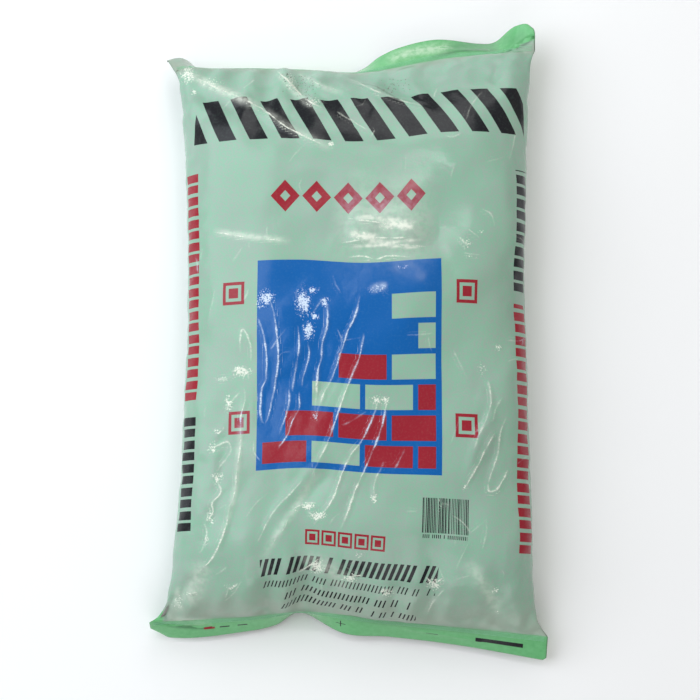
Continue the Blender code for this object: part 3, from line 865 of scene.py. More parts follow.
print("making the skirts")
outerSteps = film["skirt"] * np.arange(1, grid["skirtRows"] + 1) / grid["skirtRows"]
innerSteps = film["skirt"] * np.arange(grid["innerRows"], 0, -1) / grid["innerRows"]
bottomOuter, bottomInner, topOuter, topInner = (
    skirtRows(end, weldRing, steps, face)
    for end, weldRing in ((bottomEnd, rings[0]), (topEnd, rings[-1]))
    for face, steps in (("outer", outerSteps), ("inner", innerSteps))
)
outer = np.concatenate([bottomOuter, rings, topOuter])

print("creasing the film")
creaseAside, creaseWhite = creaseFilm(outer)
outer[..., 2] = np.maximum(outer[..., 2], 0)
shift = Vector((0, bag["towardsBottom"], 0))


# A smooth closed piece from rings of points, moved with the bag to the middle of its footprint
def smoothPiece(name, points, front):
    obj = meshObject(name, points, tubeFaces(len(points), front, grid["back"]))
    obj.data.transform(Matrix.Translation(shift))
    obj.data.shade_smooth()
    return obj


sack = smoothPiece("filmSack", np.concatenate([bottomInner, outer, topInner]), grid["front"])

tubeLength = weldToWeld + 2 * film["skirt"]
topWeldHeight = tubeLength - film["skirt"]
bodyHeights = film["skirt"] + np.linspace(0, weldToWeld, len(rings))
outerHeights = np.concatenate([film["skirt"] - outerSteps[::-1], bodyHeights, topWeldHeight + outerSteps])
rowHeights = np.concatenate([film["skirt"] - innerSteps[::-1], outerHeights, topWeldHeight + innerSteps])
# The share of the baked map at each end for a skirt's inner faces, and how much of it they fill
edge, filled = 0.03, 0.9
bakeHeights = np.concatenate([
    edge * np.linspace(0, filled, grid["innerRows"]),
    edge + (1 - 2 * edge) * outerHeights / tubeLength,
    1 - edge * np.linspace(filled, 0, grid["innerRows"]),
])
addMaps(sack.data, rowHeights, bakeHeights)

front = frontOf(outer)
for group, (aside, white) in enumerate(zip(creaseAside, creaseWhite)):
    aside = everywhere(aside.reshape(front.shape[:2]), creases["reach"])
    white = everywhere(white.reshape(front.shape[:2]))
    values = np.stack([aside, white, np.zeros_like(white)], -1)
    addAttribute(sack.data, "crease%d" % (group + 1), values, "FLOAT_VECTOR")
crumpled = strongestPatch(np.zeros(front.shape[:2]), placesInPhoto(front), crumples)
addAttribute(sack.data, "crumple", everywhere(crumpled))
# painted shade along the folds and skirt roots, and painted sheen over the film
for name, routes in (("paintedShade", paintedShadeRoutes), ("paintedSheen", paintedSheenRoutes)):
    addAttribute(sack.data, name, everywhere(routeField(front, routes)))

# Where the film is backed by dust: hardly in the skirts, apart from the two top corners
dust = {
    # across the bag, and how far past the top weld
    "pastTopWeld": [(-0.150, 0.030), (-0.135, 0.0), (0.150, 0.0), (0.183, 0.012)],
    "start": 0.001,  # how far short of its edge the dust begins, and over what length it thickens
    "fade": 0.004,
    "leftOfBody": -0.184,  # the flattened corner at the bottom left is clean
    "leftFade": 0.002,
    "bottomReach": 0.042,
    "topReach": 0.010,
}
fromWeld = np.minimum(outerHeights, tubeLength - outerHeights) - film["skirt"]
across, alongBag = outer[..., 0], outer[..., 1]
pastWeld = np.where(alongBag > 0, np.interp(across, *zip(*dust["pastTopWeld"])), 0)
dusty = np.clip((fromWeld[:, None] + pastWeld + dust["start"]) / dust["fade"], 0, 1)
dusty *= np.where(alongBag < 0, np.clip((across - dust["leftOfBody"]) / dust["leftFade"], 0, 1), 1)
addAttribute(sack.data, "contact", everywhere(dusty))

# Film beside the welds is made greyer, over a longer reach at the bottom weld than at the top
reach = np.where(outerHeights < tubeLength / 2, dust["bottomReach"], dust["topReach"])
weldGreyness = bell(np.maximum(fromWeld, 0), reach)[:, None] * dusty
addAttribute(sack.data, "weldGrey", everywhere(weldGreyness))

# The dry mix fills the film, a little inside it
mix = {"inset": 0.0030, "fromWeld": 0.014, "everyRow": 2, "everyColumn": 2}


def concreteMix(rings):
    first = int(mix["fromWeld"] / weldToWeld * grid["along"]) + 1
    inside = rings - surfaceNormals(rings) * mix["inset"]
    inside[..., 2] = np.clip(inside[..., 2], mix["inset"] / 2, None)
    kept = inside[first : len(rings) - first : mix["everyRow"]]
    kept = np.concatenate([kept[:, : grid["front"] : mix["everyColumn"]], kept[:, grid["front"] :]], 1)
    return smoothPiece("concreteMix", kept, grid["front"] // mix["everyColumn"])


print("filling it with dry mix")
fill = concreteMix(rings)


# An sRGB hex colour in linear values
def linear(hexColour):
    parts = [int(hexColour[k : k + 2], 16) / 255 for k in (1, 3, 5)]
    return (*[part / 12.92 if part <= 0.04045 else ((part + 0.055) / 1.055) ** 2.4 for part in parts], 1.0)


# Adds a node with its settings, and values, hex colours or links for its sockets, either by name or in
# their order, and gives back one of its outputs
def addNode(tree, kind, sockets=(), output=0, **settings):
    node = tree.nodes.new(kind)
    for name, value in settings.items():
        setattr(node, name, value)
    named = sockets if isinstance(sockets, dict) else dict(enumerate(sockets))
    for socket, value in named.items():
        if isinstance(value, bpy.types.NodeSocket):
            tree.links.new(value, node.inputs[socket])
        else:
            node.inputs[socket].default_value = linear(value) if isinstance(value, str) else value
    return node.outputs[output] if node.outputs else node


# Adds a run of nodes of one kind: each step is its operation and its other values, and works on what the
# step before gave
def addRun(tree, value, *steps, kind="ShaderNodeMath"):
    for operation, *others in steps:
        value = addNode(tree, kind, [value, *others], operation=operation)
    return value


def newMaterial(name, values):
    material = bpy.data.materials.new(name)
    material.use_nodes = True
    shader = material.node_tree.nodes["Principled BSDF"]
    for socket, value in values.items():
        shader.inputs[socket].default_value = value
    return material, material.node_tree, shader


# Gives a material its colour, and relief from heights in metres
def endMaterial(tree, shader, colour, height):
    normal = addNode(tree, "ShaderNodeBump", {"Height": height, "Strength": 1.0, "Distance": 1.0})
    tree.links.new(colour, shader.inputs["Base Color"])
    tree.links.new(normal, shader.inputs["Normal"])


# A material whose colour drifts between two tones, over a size in metres
def mottledMaterial(name, tones, size, detail, values):
    material, tree, shader = newMaterial(name, values)
    space = addNode(tree, "ShaderNodeTexCoord", output="Object")
    mottle = addNode(tree, "ShaderNodeTexNoise", {"Vector": space, "Scale": 1 / size, "Detail": detail})
    colour = addNode(tree, "ShaderNodeMix", {0: mottle, 6: tones[0], 7: tones[1]}, 2, data_type="RGBA")
    tree.links.new(colour, shader.inputs["Base Color"])
    return material


# The print is ink laid on the flat tube: each motif's lower left and upper right corner, in metres from the
# left fold and from the bottom cut edge
printing = {
    "black": "#1c1d21",
    "red": "#9a2331",
    "blue": "#095fa9",
    "worn": (0.25, 0.5, 0.96, 1.0),  # the speckle from and to these makes the ink this thin and this full
    "motifs": [
        ("black", "slantedBars", (0.030, 0.514), (0.380, 0.563), {"count": 11, "fill": 0.58, "lean": 0.55}),
        ("red", "diamonds", (0.114, 0.439), (0.270, 0.473), {"count": 5, "fill": 0.92}),
        ("red", "frames", (0.067, 0.351), (0.089, 0.373), {}),
        ("red", "frames", (0.299, 0.351), (0.321, 0.373), {}),
        ("red", "frames", (0.073, 0.226), (0.095, 0.248), {}),
        ("red", "frames", (0.297, 0.226), (0.319, 0.248), {}),
        ("red", "frames", (0.152, 0.116), (0.232, 0.131), {"count": 5, "gap": 0.12}),
        ("black", "hatch", (0.108, 0.086), (0.286, 0.104), {"pitch": 0.0064, "fill": 0.58, "seed": 9}),
        ("black", "hatch", (0.110, 0.071), (0.286, 0.079), {"pitch": 0.0038, "fill": 0.36, "seed": 21}),
        ("black", "hatch", (0.132, 0.056), (0.266, 0.064), {"pitch": 0.0042, "seed": 35}),
        ("black", "hatch", (0.130, 0.042), (0.268, 0.050), {"pitch": 0.0040, "seed": 42}),
        ("black", "thinBars", (0.266, 0.1365), (0.312, 0.169), {"pitch": 0.0016, "seed": 3}),
        ("black", "hatch", (0.267, 0.1315), (0.311, 0.1350),
         {"pitch": 0.0019, "fill": 0.45, "lean": 0.0, "seed": 8}),
        ("red", "rungs", (0.017, 0.262), (0.037, 0.486), {}),
        ("black", "rungs", (0.017, 0.136), (0.037, 0.248), {}),
        ("black", "rungs", (0.364, 0.366), (0.384, 0.480), {}),
        ("red", "rungs", (0.364, 0.124), (0.384, 0.354), {}),
        ("black", "solid", (0.328, 0.0115), (0.376, 0.0170), {}),
        ("black", "solid", (0.070, 0.014), (0.080, 0.0160), {}),
        ("black", "solid", (0.088, 0.014), (0.098, 0.0160), {}),
        ("black", "solid", (0.187, 0.0145), (0.197, 0.0155), {}),
        ("black", "solid", (0.1915, 0.010), (0.1925, 0.020), {}),
        ("black", "solid", (0.278, 0.0145), (0.290, 0.0155), {}),
        ("red", "solid", (0.054, 0.013), (0.065, 0.0160), {}),
    ],
    # what each kind of motif has unless its line says otherwise
    "usual": {
        "slantedBars": {},
        "diamonds": {"hollow": 0.16},
        "frames": {"count": 1, "gap": 0.0, "rim": 0.36, "heart": 0.22},
        "hatch": {"fill": 0.38, "lean": 0.30, "missing": 0.14},
        "thinBars": {"thinnest": 0.25, "spread": 0.55},
        "rungs": {"pitch": 0.0226, "fill": 0.84, "slit": (0.41, 0.06)},
        "solid": {},
    },
    "panel": {
        "from": (0.102, 0.190), "to": (0.284, 0.393), "margin": 0.006, "courses": 7, "blocksAcross": 3.5,
        "joint": 0.0052, "start": 0.6, "rise": 1.5, "redShare": 0.5,
    },
}


# A place's share of the way across a box, how far it is from the box's middle, and 1 inside the box
def boxPlace(tree, place, low, high):
    size = (high[0] - low[0], high[1] - low[1], 1)
    share = addRun(tree, place, ("SUBTRACT", (*low, 0)), ("DIVIDE", size), kind="ShaderNodeVectorMath")
    away = addRun(tree, share, ("SUBTRACT", (0.5, 0.5, 0)), ("ABSOLUTE",), kind="ShaderNodeVectorMath")
    away = addNode(tree, "ShaderNodeSeparateXYZ", [away]).node.outputs
    inside = addRun(tree, away[0], ("MAXIMUM", away[1]), ("LESS_THAN", 0.5))
    return share, away, inside


# A number by chance for each whole step along
def chanceAlong(tree, along, seed):
    cell = addRun(tree, along, ("ADD", seed), ("FLOOR",))
    return addNode(tree, "ShaderNodeTexWhiteNoise", {"W": cell}, noise_dimensions="1D")


def motifMask(tree, place, kind, low, high, given):
    options = {**printing["usual"][kind], **given}
    share, away, inside = boxPlace(tree, place, low, high)
    across, up, _ = addNode(tree, "ShaderNodeSeparateXYZ", [share]).node.outputs
    width, height = high[0] - low[0], high[1] - low[1]
    fromMiddle = [("FRACT",), ("SUBTRACT", 0.5), ("ABSOLUTE",)]
    if kind == "solid":
        return inside
    if kind == "frames":
        # square frames, each round a smaller square
        along = addRun(tree, across, ("MULTIPLY", options["count"]), *fromMiddle)
        along = addRun(tree, along, ("MULTIPLY", 1 / (1 - options["gap"])))
        single = addRun(tree, along, ("LESS_THAN", 0.5))
        furthest = addRun(tree, along, ("MAXIMUM", away[1]))
        rim = addRun(tree, furthest, ("GREATER_THAN", options["rim"]))
        heart = addRun(tree, furthest, ("LESS_THAN", options["heart"]))
        shape = addRun(tree, rim, ("MAXIMUM", heart), ("MULTIPLY", single))
    if kind == "slantedBars":
        lean = options["lean"] * height / width * options["count"]
        along = addRun(tree, up, ("MULTIPLY", lean))
        along = addRun(tree, across, ("MULTIPLY_ADD", options["count"], along))
        shape = addRun(tree, along, ("FRACT",), ("LESS_THAN", options["fill"]))
    if kind == "diamonds":
        along = addRun(tree, across, ("MULTIPLY", options["count"]), *fromMiddle)
        reach = addRun(tree, along, ("ADD", away[1]))
        shape = addRun(tree, reach, ("LESS_THAN", 0.5 * options["fill"]))
        hollow = addRun(tree, reach, ("GREATER_THAN", options["hollow"]))
        shape = addRun(tree, shape, ("MULTIPLY", hollow))
    if kind == "rungs":
        # solid blocks up the side, each with a slit across it
        along = addRun(tree, up, ("MULTIPLY", height / options["pitch"]), ("FRACT",))
        block = addRun(tree, along, ("LESS_THAN", options["fill"]))
        slit = addRun(tree, along, ("COMPARE", *options["slit"]))
        slit = addRun(tree, 1.0, ("SUBTRACT", slit))
        shape = addRun(tree, block, ("MULTIPLY", slit))
    if kind == "hatch":
        # short slanted strokes in groups
        lean = options["lean"] * height / options["pitch"]
        along = addRun(tree, up, ("MULTIPLY", -lean))
        along = addRun(tree, across, ("MULTIPLY_ADD", width / options["pitch"], along))
        chance = chanceAlong(tree, along, options["seed"])
        kept = addRun(tree, chance, ("GREATER_THAN", options["missing"]))
        shape = addRun(tree, along, ("FRACT",), ("LESS_THAN", options["fill"]), ("MULTIPLY", kept))
    if kind == "thinBars":
        # one bar to each pitch, some thin and some thick
        along = addRun(tree, across, ("MULTIPLY", width / options["pitch"]))
        chance = chanceAlong(tree, along, options["seed"])
        wide = addRun(tree, chance, ("MULTIPLY_ADD", options["spread"], options["thinnest"]))
        shape = addRun(tree, along, ("FRACT",), ("LESS_THAN", wide))
    return addRun(tree, inside, ("MULTIPLY", shape))


# The panel: a blue field with a stepped wall of blocks in bond, some of them red
def panelMasks(tree, place):
    panel = printing["panel"]
    low, high = panel["from"], panel["to"]
    width, height = high[0] - low[0], high[1] - low[1]
    share, away, inside = boxPlace(tree, place, low, high)
    across, up, _ = addNode(tree, "ShaderNodeSeparateXYZ", [share]).node.outputs
    up = addRun(tree, up, ("MULTIPLY", panel["courses"]))
    course = addRun(tree, up, ("FLOOR",))
    withinCourse = addRun(tree, up, ("FRACT",))
    # every other course starts half a block further on
    along = addRun(tree, course, ("MODULO", 2.0), ("MULTIPLY", 0.5))
    along = addRun(tree, across, ("MULTIPLY_ADD", panel["blocksAcross"], along))
    block = addRun(tree, along, ("FLOOR",))
    withinBlock = addRun(tree, along, ("FRACT",))
    blockWidth, courseHeight = width / panel["blocksAcross"], height / panel["courses"]
    sideJoint, bedJoint = panel["joint"] / blockWidth / 2, panel["joint"] / courseHeight / 2
    clearSide = addRun(tree, withinBlock, ("COMPARE", 0.5, 0.5 - sideJoint))
    clearBed = addRun(tree, withinCourse, ("COMPARE", 0.5, 0.5 - bedJoint))
    blocks = addRun(tree, clearSide, ("MULTIPLY", clearBed))
    # the wall steps down to the left
    step = addRun(tree, block, ("MULTIPLY_ADD", panel["rise"], panel["start"]))
    standing = addRun(tree, course, ("LESS_THAN", step))
    nearSide = addRun(tree, away[0], ("LESS_THAN", 0.5 - panel["margin"] / width))
    nearBed = addRun(tree, away[1], ("LESS_THAN", 0.5 - panel["margin"] / height))
    masks = [("MULTIPLY", mask) for mask in (standing, nearSide, nearBed)]
    blocks = addRun(tree, blocks, *masks)
    # a number of its own for each block
    number = addRun(tree, course, ("MULTIPLY_ADD", 5.0, block))
    chance = addNode(tree, "ShaderNodeTexWhiteNoise", {"W": number}, noise_dimensions="1D")
    red = addRun(tree, chance, ("GREATER_THAN", 1 - panel["redShare"]), ("MULTIPLY", blocks))
    return inside, blocks, red


# Low-density polyethylene, blown as a tube, tinted mint and printed. It is milky and greyed by cement dust
# where it lies on the mix, clear green in the skirts, softly glossy, and white along its creases, partly from
# stress whitening and partly as painted highlight. Painted shade darkens its folds, and painted sheen and
# glints lie over it.
filmFinish = {
    "shader": {"Roughness": 0.22, "IOR": 1.51, "Specular IOR Level": 0.28},
    "overMix": ("#8ebba1", "#9bb2a4"),  # greener where it stands a little off the dust
    # the greyer tone beside the welds
    "weldGrey": "#9dac9c",
    "doubled": ("#5fae6d", "#7cc78a"),  # two layers over nothing
    # pale tones of stress-whitened creases and of the painted highlights, glints and sheen
    "creased": ("#eef3e4", "#d9e8fa"),  # over the mint film and over ink
    # painted shade for the folds, hollows and skirt roots
    "paintedShade": "#4c6a55",
    # metres across
    "noises": {"patches": 0.075, "mottle": 0.013, "grains": 0.0021, "ripples": 0.0055, "beads": 0.0015},
    "crazing": 0.0030,
    "breaks": 0.0090,
    "dusting": {"patches": 1.5, "mottle": 1.5, "grains": 5.0},  # how much each noise counts
    # how far the painted shade darkens the film
    "paintedShadeDepth": 0.8,
    "lineWidth": 0.70,  # millimetres each side of a crease
    "lineSlope": -0.7,  # how fast a crease's shoulder falls away, and how white it is
    "shoulderWhite": 0.22,
    "wander": 1.6,
    "specks": (1.1, 0.37),  # how much the ripples count in a crumple, and both together
    "within": (5.0, -0.2),  # how fast the specks set in from a crumple's rim, and from where
    "whitest": 0.92,
    "creaseShine": -0.1,  # roughness
    # what a value is mapped from, low and high, and what to, if not 0 and 1
    "weldGreyShare": (0.3, 0.6, 0.55),
    "broken": (0.36, 0.52, 0.5),
    "beaded": (0.36, 0.58, 0.45, 1.4),
    "swell": (0.35, 0.65, 0.75, 1.5),
    "line": (1.35, 0.35),
    "sparkle": (0.86, 1.0),
    "wisps": (0.38, 0.58, 0.5, 1.1),
    "gloss": (0.35, 0.65, 0.19, 0.26),
    # metres high: raised creases, crazing, ripples and grains
    "heights": (0.00035, 0.0015, 0.00020, 0.00004),
}


# Mint film, greener and greyer in patches, mottled and speckled by the dust behind it, greyer beside the
# welds, and darkened by painted shade along its folds
def mintFilm(tree, marks, noises):
    finish = filmFinish
    dusty = 0.0
    for name, weight in finish["dusting"].items():
        dusty = addRun(tree, noises[name], ("SUBTRACT", 0.5), ("MULTIPLY_ADD", weight, dusty))
    dusty = addNode(tree, "ShaderNodeMath", [dusty, 0.5], operation="ADD", use_clamp=True)
    overMix, doubled = (
        addNode(tree, "ShaderNodeMix", {0: amount, 6: first, 7: second}, 2, data_type="RGBA")
        for amount, (first, second) in ((dusty, finish["overMix"]), (noises["ripples"], finish["doubled"]))
    )
    contact = marks["contact"]
    colour = addNode(tree, "ShaderNodeMix", {0: contact, 6: doubled, 7: overMix}, 2, data_type="RGBA")
    weldGreyShare = addNode(tree, "ShaderNodeMapRange", [noises["mottle"], *finish["weldGreyShare"]])
    # greyer beside the welds, then painted shade along the folds
    for name, share in (("weldGrey", weldGreyShare), ("paintedShade", finish["paintedShadeDepth"])):
        amount = addRun(tree, marks[name], ("MULTIPLY", share))
        colour = addNode(tree, "ShaderNodeMix", {0: amount, 6: colour, 7: finish[name]}, 2, data_type="RGBA")
    return colour


# Ink over the film, a little worn over the grains
def printedFilm(tree, flat, grains, colour):
    inks = {"black": 0.0, "red": 0.0}
    for ink, *motif in printing["motifs"]:
        mask = motifMask(tree, flat, *motif)
        inks[ink] = addRun(tree, mask, ("MAXIMUM", inks[ink]))
    field, blocks, redBlocks = panelMasks(tree, flat)
    inks["red"] = addRun(tree, inks["red"], ("MAXIMUM", redBlocks))
    inks["blue"] = addRun(tree, field, ("SUBTRACT", blocks))
    worn = addNode(tree, "ShaderNodeMapRange", [grains, *printing["worn"]])
    for ink, mask in inks.items():
        laid = addRun(tree, mask, ("MULTIPLY", worn))
        colour = addNode(tree, "ShaderNodeMix", {0: laid, 6: colour, 7: printing[ink]}, 2, data_type="RGBA")
    return colour, inks


# How white and how raised the creases are: the white is partly stress whitening and partly painted highlight.
# Each group holds the distance to the nearest crease and its whiteness, and the line wanders, swells and
# breaks up on its way.
def creaseLines(tree, flat, beads):
    finish = filmFinish
    sockets = {"Vector": flat, "Scale": 1 / finish["breaks"], "Detail": 2.0}
    chances = addNode(tree, "ShaderNodeTexNoise", sockets, 1)
    chances = addNode(tree, "ShaderNodeSeparateXYZ", [chances]).node.outputs
    wander = addRun(tree, chances[0], ("SUBTRACT", 0.5))
    broken = addNode(tree, "ShaderNodeMapRange", [chances[1], *finish["broken"]])
    beaded = addNode(tree, "ShaderNodeMapRange", [beads, *finish["beaded"]])
    broken = addRun(tree, broken, ("MULTIPLY", beaded))
    width = addNode(tree, "ShaderNodeMapRange", [chances[2], *finish["swell"]])
    width = addRun(tree, width, ("MULTIPLY", finish["lineWidth"]))
    stressWhiteAndSheen, raised = 0.0, 0.0
    for group in range(creases["groups"]):
        name = "crease%d" % (group + 1)
        values = addNode(tree, "ShaderNodeAttribute", output="Vector", attribute_name=name)
        values = addNode(tree, "ShaderNodeSeparateXYZ", [values]).node.outputs
        away = addRun(tree, wander, ("MULTIPLY_ADD", finish["wander"], values[0]))
        away = addRun(tree, away, ("ABSOLUTE",), ("DIVIDE", width))
        line = addNode(tree, "ShaderNodeMapRange", [away, *finish["line"]])
        slope = addRun(tree, away, ("MULTIPLY", finish["lineSlope"]), ("EXPONENT",))
        strength = addRun(tree, values[1], ("MULTIPLY", broken))
        line = addRun(tree, slope, ("MULTIPLY_ADD", finish["shoulderWhite"], line))
        stressWhiteAndSheen = addRun(tree, line, ("MULTIPLY", strength), ("MAXIMUM", stressWhiteAndSheen))
        raised = addRun(tree, slope, ("MULTIPLY_ADD", strength, raised))
    return stressWhiteAndSheen, raised


def polyethyleneFilm():
    finish = filmFinish
    material, tree, shader = newMaterial("polyethyleneFilm", finish["shader"])
    flat = addNode(tree, "ShaderNodeUVMap", uv_map="filmFlat")
    space = addNode(tree, "ShaderNodeTexCoord", output="Object")
    marks = {
        name: addNode(tree, "ShaderNodeAttribute", output="Fac", attribute_name=name)
        for name in ("contact", "crumple", "paintedShade", "weldGrey", "paintedSheen")
    }
    noises = {
        name: addNode(tree, "ShaderNodeTexNoise", {"Vector": space, "Scale": 1 / size, "Detail": 3.0})
        for name, size in finish["noises"].items()
    }
    colour = mintFilm(tree, marks, noises)
    colour, inks = printedFilm(tree, flat, noises["grains"], colour)
    stressWhiteAndSheen, raised = creaseLines(tree, flat, noises["beads"])

    # crumpled patches are crazed all over
    crazed = addNode(
        tree, "ShaderNodeTexNoise",
        {"Vector": flat, "Scale": 1 / finish["crazing"], "Detail": 3.0, "Roughness": 0.6},
        noise_type="RIDGED_MULTIFRACTAL",
    )
    # painted glints: white specks, close together in the middle and scattered round it
    byRipples, byBoth = finish["specks"]
    ragged = addRun(tree, noises["ripples"], ("MULTIPLY_ADD", byRipples, marks["crumple"]))
    ragged = addRun(tree, ragged, ("MULTIPLY_ADD", byBoth, noises["beads"]))
    sparkle = addNode(tree, "ShaderNodeMapRange", [ragged, *finish["sparkle"]])
    within = [marks["crumple"], *finish["within"]]
    within = addNode(tree, "ShaderNodeMath", within, operation="MULTIPLY_ADD", use_clamp=True)
    sparkle = addRun(tree, sparkle, ("MULTIPLY", within))
    # painted sheen in wisps, broken up by the ripples
    wisps = addNode(tree, "ShaderNodeMapRange", [noises["ripples"], *finish["wisps"]])
    wisps = addRun(tree, wisps, ("MULTIPLY", marks["paintedSheen"]))
    # painted glints and painted sheen join the white of the creases
    for amount in (sparkle, wisps):
        stressWhiteAndSheen = addNode(tree, "ShaderNodeMath", [stressWhiteAndSheen, amount], operation="MAXIMUM", use_clamp=True)
    stressWhiteAndSheen = addRun(tree, stressWhiteAndSheen, ("MULTIPLY", finish["whitest"]))
    inked = addRun(tree, inks["blue"], ("MAXIMUM", inks["red"]))
    bare, overInk = finish["creased"]
    paleTint = addNode(tree, "ShaderNodeMix", {0: inked, 6: bare, 7: overInk}, 2, data_type="RGBA")
    colour = addNode(tree, "ShaderNodeMix", {0: stressWhiteAndSheen, 6: colour, 7: paleTint}, 2, data_type="RGBA")

    # stretched and shiny where it is creased
    gloss = addNode(tree, "ShaderNodeMapRange", [noises["patches"], *finish["gloss"]])
    gloss = addRun(tree, stressWhiteAndSheen, ("MULTIPLY_ADD", finish["creaseShine"], gloss))
    tree.links.new(gloss, shader.inputs["Roughness"])

    crumpled = addRun(tree, crazed, ("MULTIPLY", marks["crumple"]))
    height = 0.0
    for amount, tall in zip((raised, crumpled, noises["ripples"], noises["grains"]), finish["heights"]):
        height = addRun(tree, amount, ("MULTIPLY_ADD", tall, height))
    endMaterial(tree, shader, colour, height)
    return material


mixFinish = {
    "flourTones": ("#7d7b76", "#9b9a95"),
    "stoneTones": ("#6f6a62", "#a39b8d"),
    # metres: how the flour drifts, the stones, and how high each stands
    "flour": 0.02,
    "stone": 0.006,
    "flourHeight": 0.001,
    "stoneHeight": -0.0015,
    "bare": (0.42, 0.2),  # distance from a stone's middle that is covered, and that shows
}


# Dry concrete mix: grey cement flour over sand and fine gravel, quite without gloss
def dryConcreteMix():
    finish = mixFinish
    material, tree, shader = newMaterial("dryConcreteMix", {"Roughness": 0.95, "IOR": 1.5})
    space = addNode(tree, "ShaderNodeTexCoord", output="Object")
    drift = {"Vector": space, "Scale": 1 / finish["flour"], "Detail": 6.0}
    flour = addNode(tree, "ShaderNodeTexNoise", drift)
    stones, stoneTint = (
        addNode(tree, "ShaderNodeTexVoronoi", {"Vector": space, "Scale": 1 / finish["stone"]}, output)
        for output in ("Distance", "Color")
    )
    tint = addNode(tree, "ShaderNodeSeparateXYZ", [stoneTint])
    grey, stone = (
        addNode(tree, "ShaderNodeMix", {0: amount, 6: first, 7: second}, 2, data_type="RGBA")
        for amount, (first, second) in ((flour, finish["flourTones"]), (tint, finish["stoneTones"]))
    )
    bare = addNode(tree, "ShaderNodeMapRange", [stones, *finish["bare"]])
    colour = addNode(tree, "ShaderNodeMix", {0: bare, 6: grey, 7: stone}, 2, data_type="RGBA")
    height = addRun(tree, stones, ("MULTIPLY", finish["stoneHeight"]))
    height = addRun(tree, flour, ("MULTIPLY_ADD", finish["flourHeight"], height))
    endMaterial(tree, shader, colour, height)
    return material


# The same film pressed and melted between hot bars: denser, a little darker and smoother
def weldedFilm():
    tones = ("#74b98a", "#93cfa8")
    return mottledMaterial("weldedFilm", tones, 0.012, 2.0, {"Roughness": 0.28, "IOR": 1.51})


print("mixing the materials")
sack.data.materials.append(polyethyleneFilm())
fill.data.materials.append(dryConcreteMix())


# Geometry nodes run once, and leave a plain mesh. Their inputs are given as a name, a kind and a value.
def runNodes(obj, tree, inputs):
    modifier = obj.modifiers.new(tree.name, "NODES")
    modifier.node_group = tree
    identifiers = {item.name: item.identifier for item in tree.interface.items_tree if item.in_out == "INPUT"}
    for name, (_, value) in inputs.items():
        modifier[identifiers[name]] = value
    settled = obj.evaluated_get(bpy.context.evaluated_depsgraph_get())
    mesh = bpy.data.meshes.new_from_object(settled)
    obj.modifiers.remove(modifier)
    obj.data = mesh
    return obj


def newTree(name, inputs):
    tree = bpy.data.node_groups.new(name, "GeometryNodeTree")
    tree.interface.new_socket("Geometry", in_out="INPUT", socket_type="NodeSocketGeometry")
    tree.interface.new_socket("Geometry", in_out="OUTPUT", socket_type="NodeSocketGeometry")
    for inputName, (kind, _) in inputs.items():
        tree.interface.new_socket(inputName, in_out="INPUT", socket_type="NodeSocket" + kind)
    return tree, tree.nodes.new("NodeGroupInput").outputs


def endTree(tree, geometry, material):
    realized = addNode(tree, "GeometryNodeRealizeInstances", [geometry])
    covered = addNode(tree, "GeometryNodeSetMaterial", {"Geometry": realized, "Material": material})
    addNode(tree, "NodeGroupOutput", [covered])


# The hot bars leave fine ribs along each weld, on both faces
weld = {"ribs": [0.0012, 0.0028, 0.0044, 0.0060], "ribRadius": 0.00028, "sides": 6, "everyColumn": 4}


def weldRibs():
    points, edges = [], []
    for end, ring in ((bottomEnd, rings[0]), (topEnd, rings[-1])):
        for step in weld["ribs"]:
            places = skirtRing(end, ring, step, "outer")
            front = places[2 : grid["front"] - 1 : weld["everyColumn"]]
            back = places[grid["front"] + 1 :: weld["everyColumn"] // 2]
            for run in (front, back):
                start = len(points)
                points += run.tolist()
                edges += [(start + k, start + k + 1) for k in range(len(run) - 1)]
    obj = meshObject("weldRibs", np.array(points) + np.array(shift), [], edges)
    given = {
        "Rib Radius": ("Float", weld["ribRadius"]), "Sides": ("Int", weld["sides"]),
        "Material": ("Material", weldedFilm()),
    }
    tree, inputs = newTree("weldRibTree", given)
    line = addNode(tree, "GeometryNodeMeshToCurve", {"Mesh": inputs["Geometry"]})
    circle = {"Resolution": inputs["Sides"], "Radius": inputs["Rib Radius"]}
    profile = addNode(tree, "GeometryNodeCurvePrimitiveCircle", circle)
    swept = {"Curve": line, "Profile Curve": profile, "Fill Caps": True}
    rib = addNode(tree, "GeometryNodeCurveToMesh", swept)
    endTree(tree, rib, inputs["Material"])
    return runNodes(obj, tree, given)


# Grains of the mix that cling to the outside where dust has fallen on the film
clinging = {
    # middle and half sizes in pixels
    "patches": [(300, 88, 22, 12), (318, 104, 14, 6), (394, 87, 18, 8), (288, 78, 9, 5)],
    "perSquareMetre": 52000.0,
    "seed": 4,
    "smallest": 0.00022,
    "largest": 0.00062,
}


# Grey and brown mineral grains, quite matt
def cementGrain():
    return mottledMaterial("cementGrain", ("#3d3b36", "#8d8a80"), 0.003, 1.0, {"Roughness": 0.9, "IOR": 1.5})


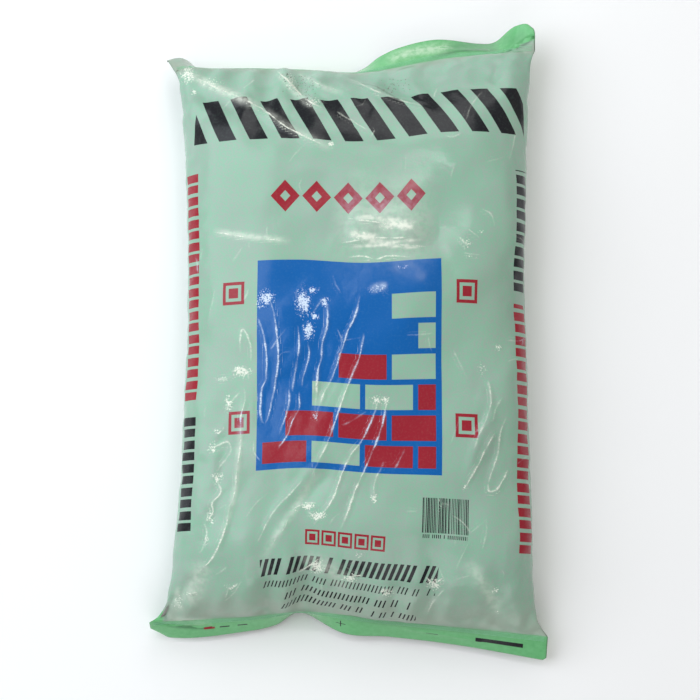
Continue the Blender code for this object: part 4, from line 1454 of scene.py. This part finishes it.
def cementGrains():
    front = frontOf(outer)
    shown = placesInPhoto(front)
    dusted = np.zeros(front.shape[:2], bool)
    for patch in clinging["patches"]:
        dusted |= fromPatch(shown, *patch) < 1
    rows, columns = np.nonzero(dusted[:-1, :-1])
    across = front.shape[1]
    corners = np.stack([rows * across + columns + step for step in (0, 1, across + 1, across)], -1)
    used, corners = np.unique(corners, return_inverse=True)
    points = front.reshape(-1, 3)[used] + np.array(shift)
    obj = meshObject("cementGrains", points, corners.reshape(-1, 4).tolist())
    given = {
        "Density": ("Float", clinging["perSquareMetre"]), "Seed": ("Int", clinging["seed"]),
        "Smallest": ("Float", clinging["smallest"]), "Largest": ("Float", clinging["largest"]),
        "Material": ("Material", cementGrain()),
    }
    tree, inputs = newTree("clingingTree", given)
    scatter = {"Mesh": inputs["Geometry"], "Density": inputs["Density"], "Seed": inputs["Seed"]}
    places = addNode(tree, "GeometryNodeDistributePointsOnFaces", scatter)
    grain = addNode(tree, "GeometryNodeMeshIcoSphere", {"Radius": 1.0, "Subdivisions": 1})
    between = {0: inputs["Smallest"], 1: inputs["Largest"], "Seed": inputs["Seed"]}
    size = addNode(tree, "FunctionNodeRandomValue", between, data_type="FLOAT_VECTOR")
    copied = {"Points": places, "Instance": grain, "Scale": size}
    grains = addNode(tree, "GeometryNodeInstanceOnPoints", copied)
    endTree(tree, grains, inputs["Material"])
    return runNodes(obj, tree, given)


print("welding the ends and dusting the film")
ribs = weldRibs()
grains = cementGrains()

for piece in (sack, fill, ribs, grains):
    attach(piece, "root")
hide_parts("film_sack")
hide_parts("concrete_mix")

print("setting up the studio")
scene = bpy.context.scene
cameraData = bpy.data.cameras.new("camera")
camera = bpy.data.objects.new("camera", cameraData)
scene.collection.objects.link(camera)
elevation = math.radians(cameraSettings["elevation"])
target = Vector(cameraSettings["target"]) + shift
backwards = Vector((0, -math.cos(elevation), math.sin(elevation)))
camera.location = target + backwards * cameraSettings["distance"]
camera.rotation_euler = (math.radians(90) - elevation, 0, 0)
cameraData.sensor_width = cameraSettings["sensorWidth"]
viewWidth = cameraSettings["pixels"] * cameraSettings["metresPerPixel"]
cameraData.lens = cameraData.sensor_width * cameraSettings["distance"] / viewWidth
scene.camera = camera

studio = {
    "floorSize": 6.0,
    "world": 0.32,
    "lights": {
        # place, width, length, watts, colour
        "key": ((-1.3, 0.5, 1.5), 2.1, 2.1, 36, "#f1f8ff"),
        "strip": ((0.40, 0.74, 1.9), 0.6, 0.05, 3.2, "#ffffff"),
        "front": ((0.1, -1.7, 1.3), 1.4, 1.0, 8, "#ffffff"),
        "back": ((0.3, 1.7, 1.3), 1.4, 1.0, 10, "#ffffff"),
        "fill": ((1.7, 0.3, 1.3), 1.2, 1.2, 1.2, "#ffc68a"),
    },
}


# Matt white paper, a little mottled
def studioPaper():
    return mottledMaterial("studioPaper", ("#f8f8f7", "#fbfbfb"), 0.25, 3.0, {"Roughness": 0.9})


half = studio["floorSize"] / 2
corners = [(-half, -half, 0), (half, -half, 0), (half, half, 0), (-half, half, 0)]
floor = meshObject("floor", corners, [(0, 1, 2, 3)])
floor.data.materials.append(studioPaper())

for name, (place, width, length, watts, tint) in studio["lights"].items():
    lightData = bpy.data.lights.new(name, "AREA")
    lightData.shape = "RECTANGLE"
    lightData.size, lightData.size_y = width, length
    lightData.energy = watts
    lightData.color = linear(tint)[:3]
    light = bpy.data.objects.new(name, lightData)
    light.location = place
    light.rotation_euler = (-Vector(place)).to_track_quat("-Z", "Y").to_euler()
    scene.collection.objects.link(light)
world = bpy.data.worlds.new("studio")
world.use_nodes = True
background = world.node_tree.nodes["Background"]
background.inputs["Color"].default_value = (1, 1, 1, 1)
background.inputs["Strength"].default_value = studio["world"]
scene.world = world
scene.view_settings.view_transform = "Standard"

print("finished")
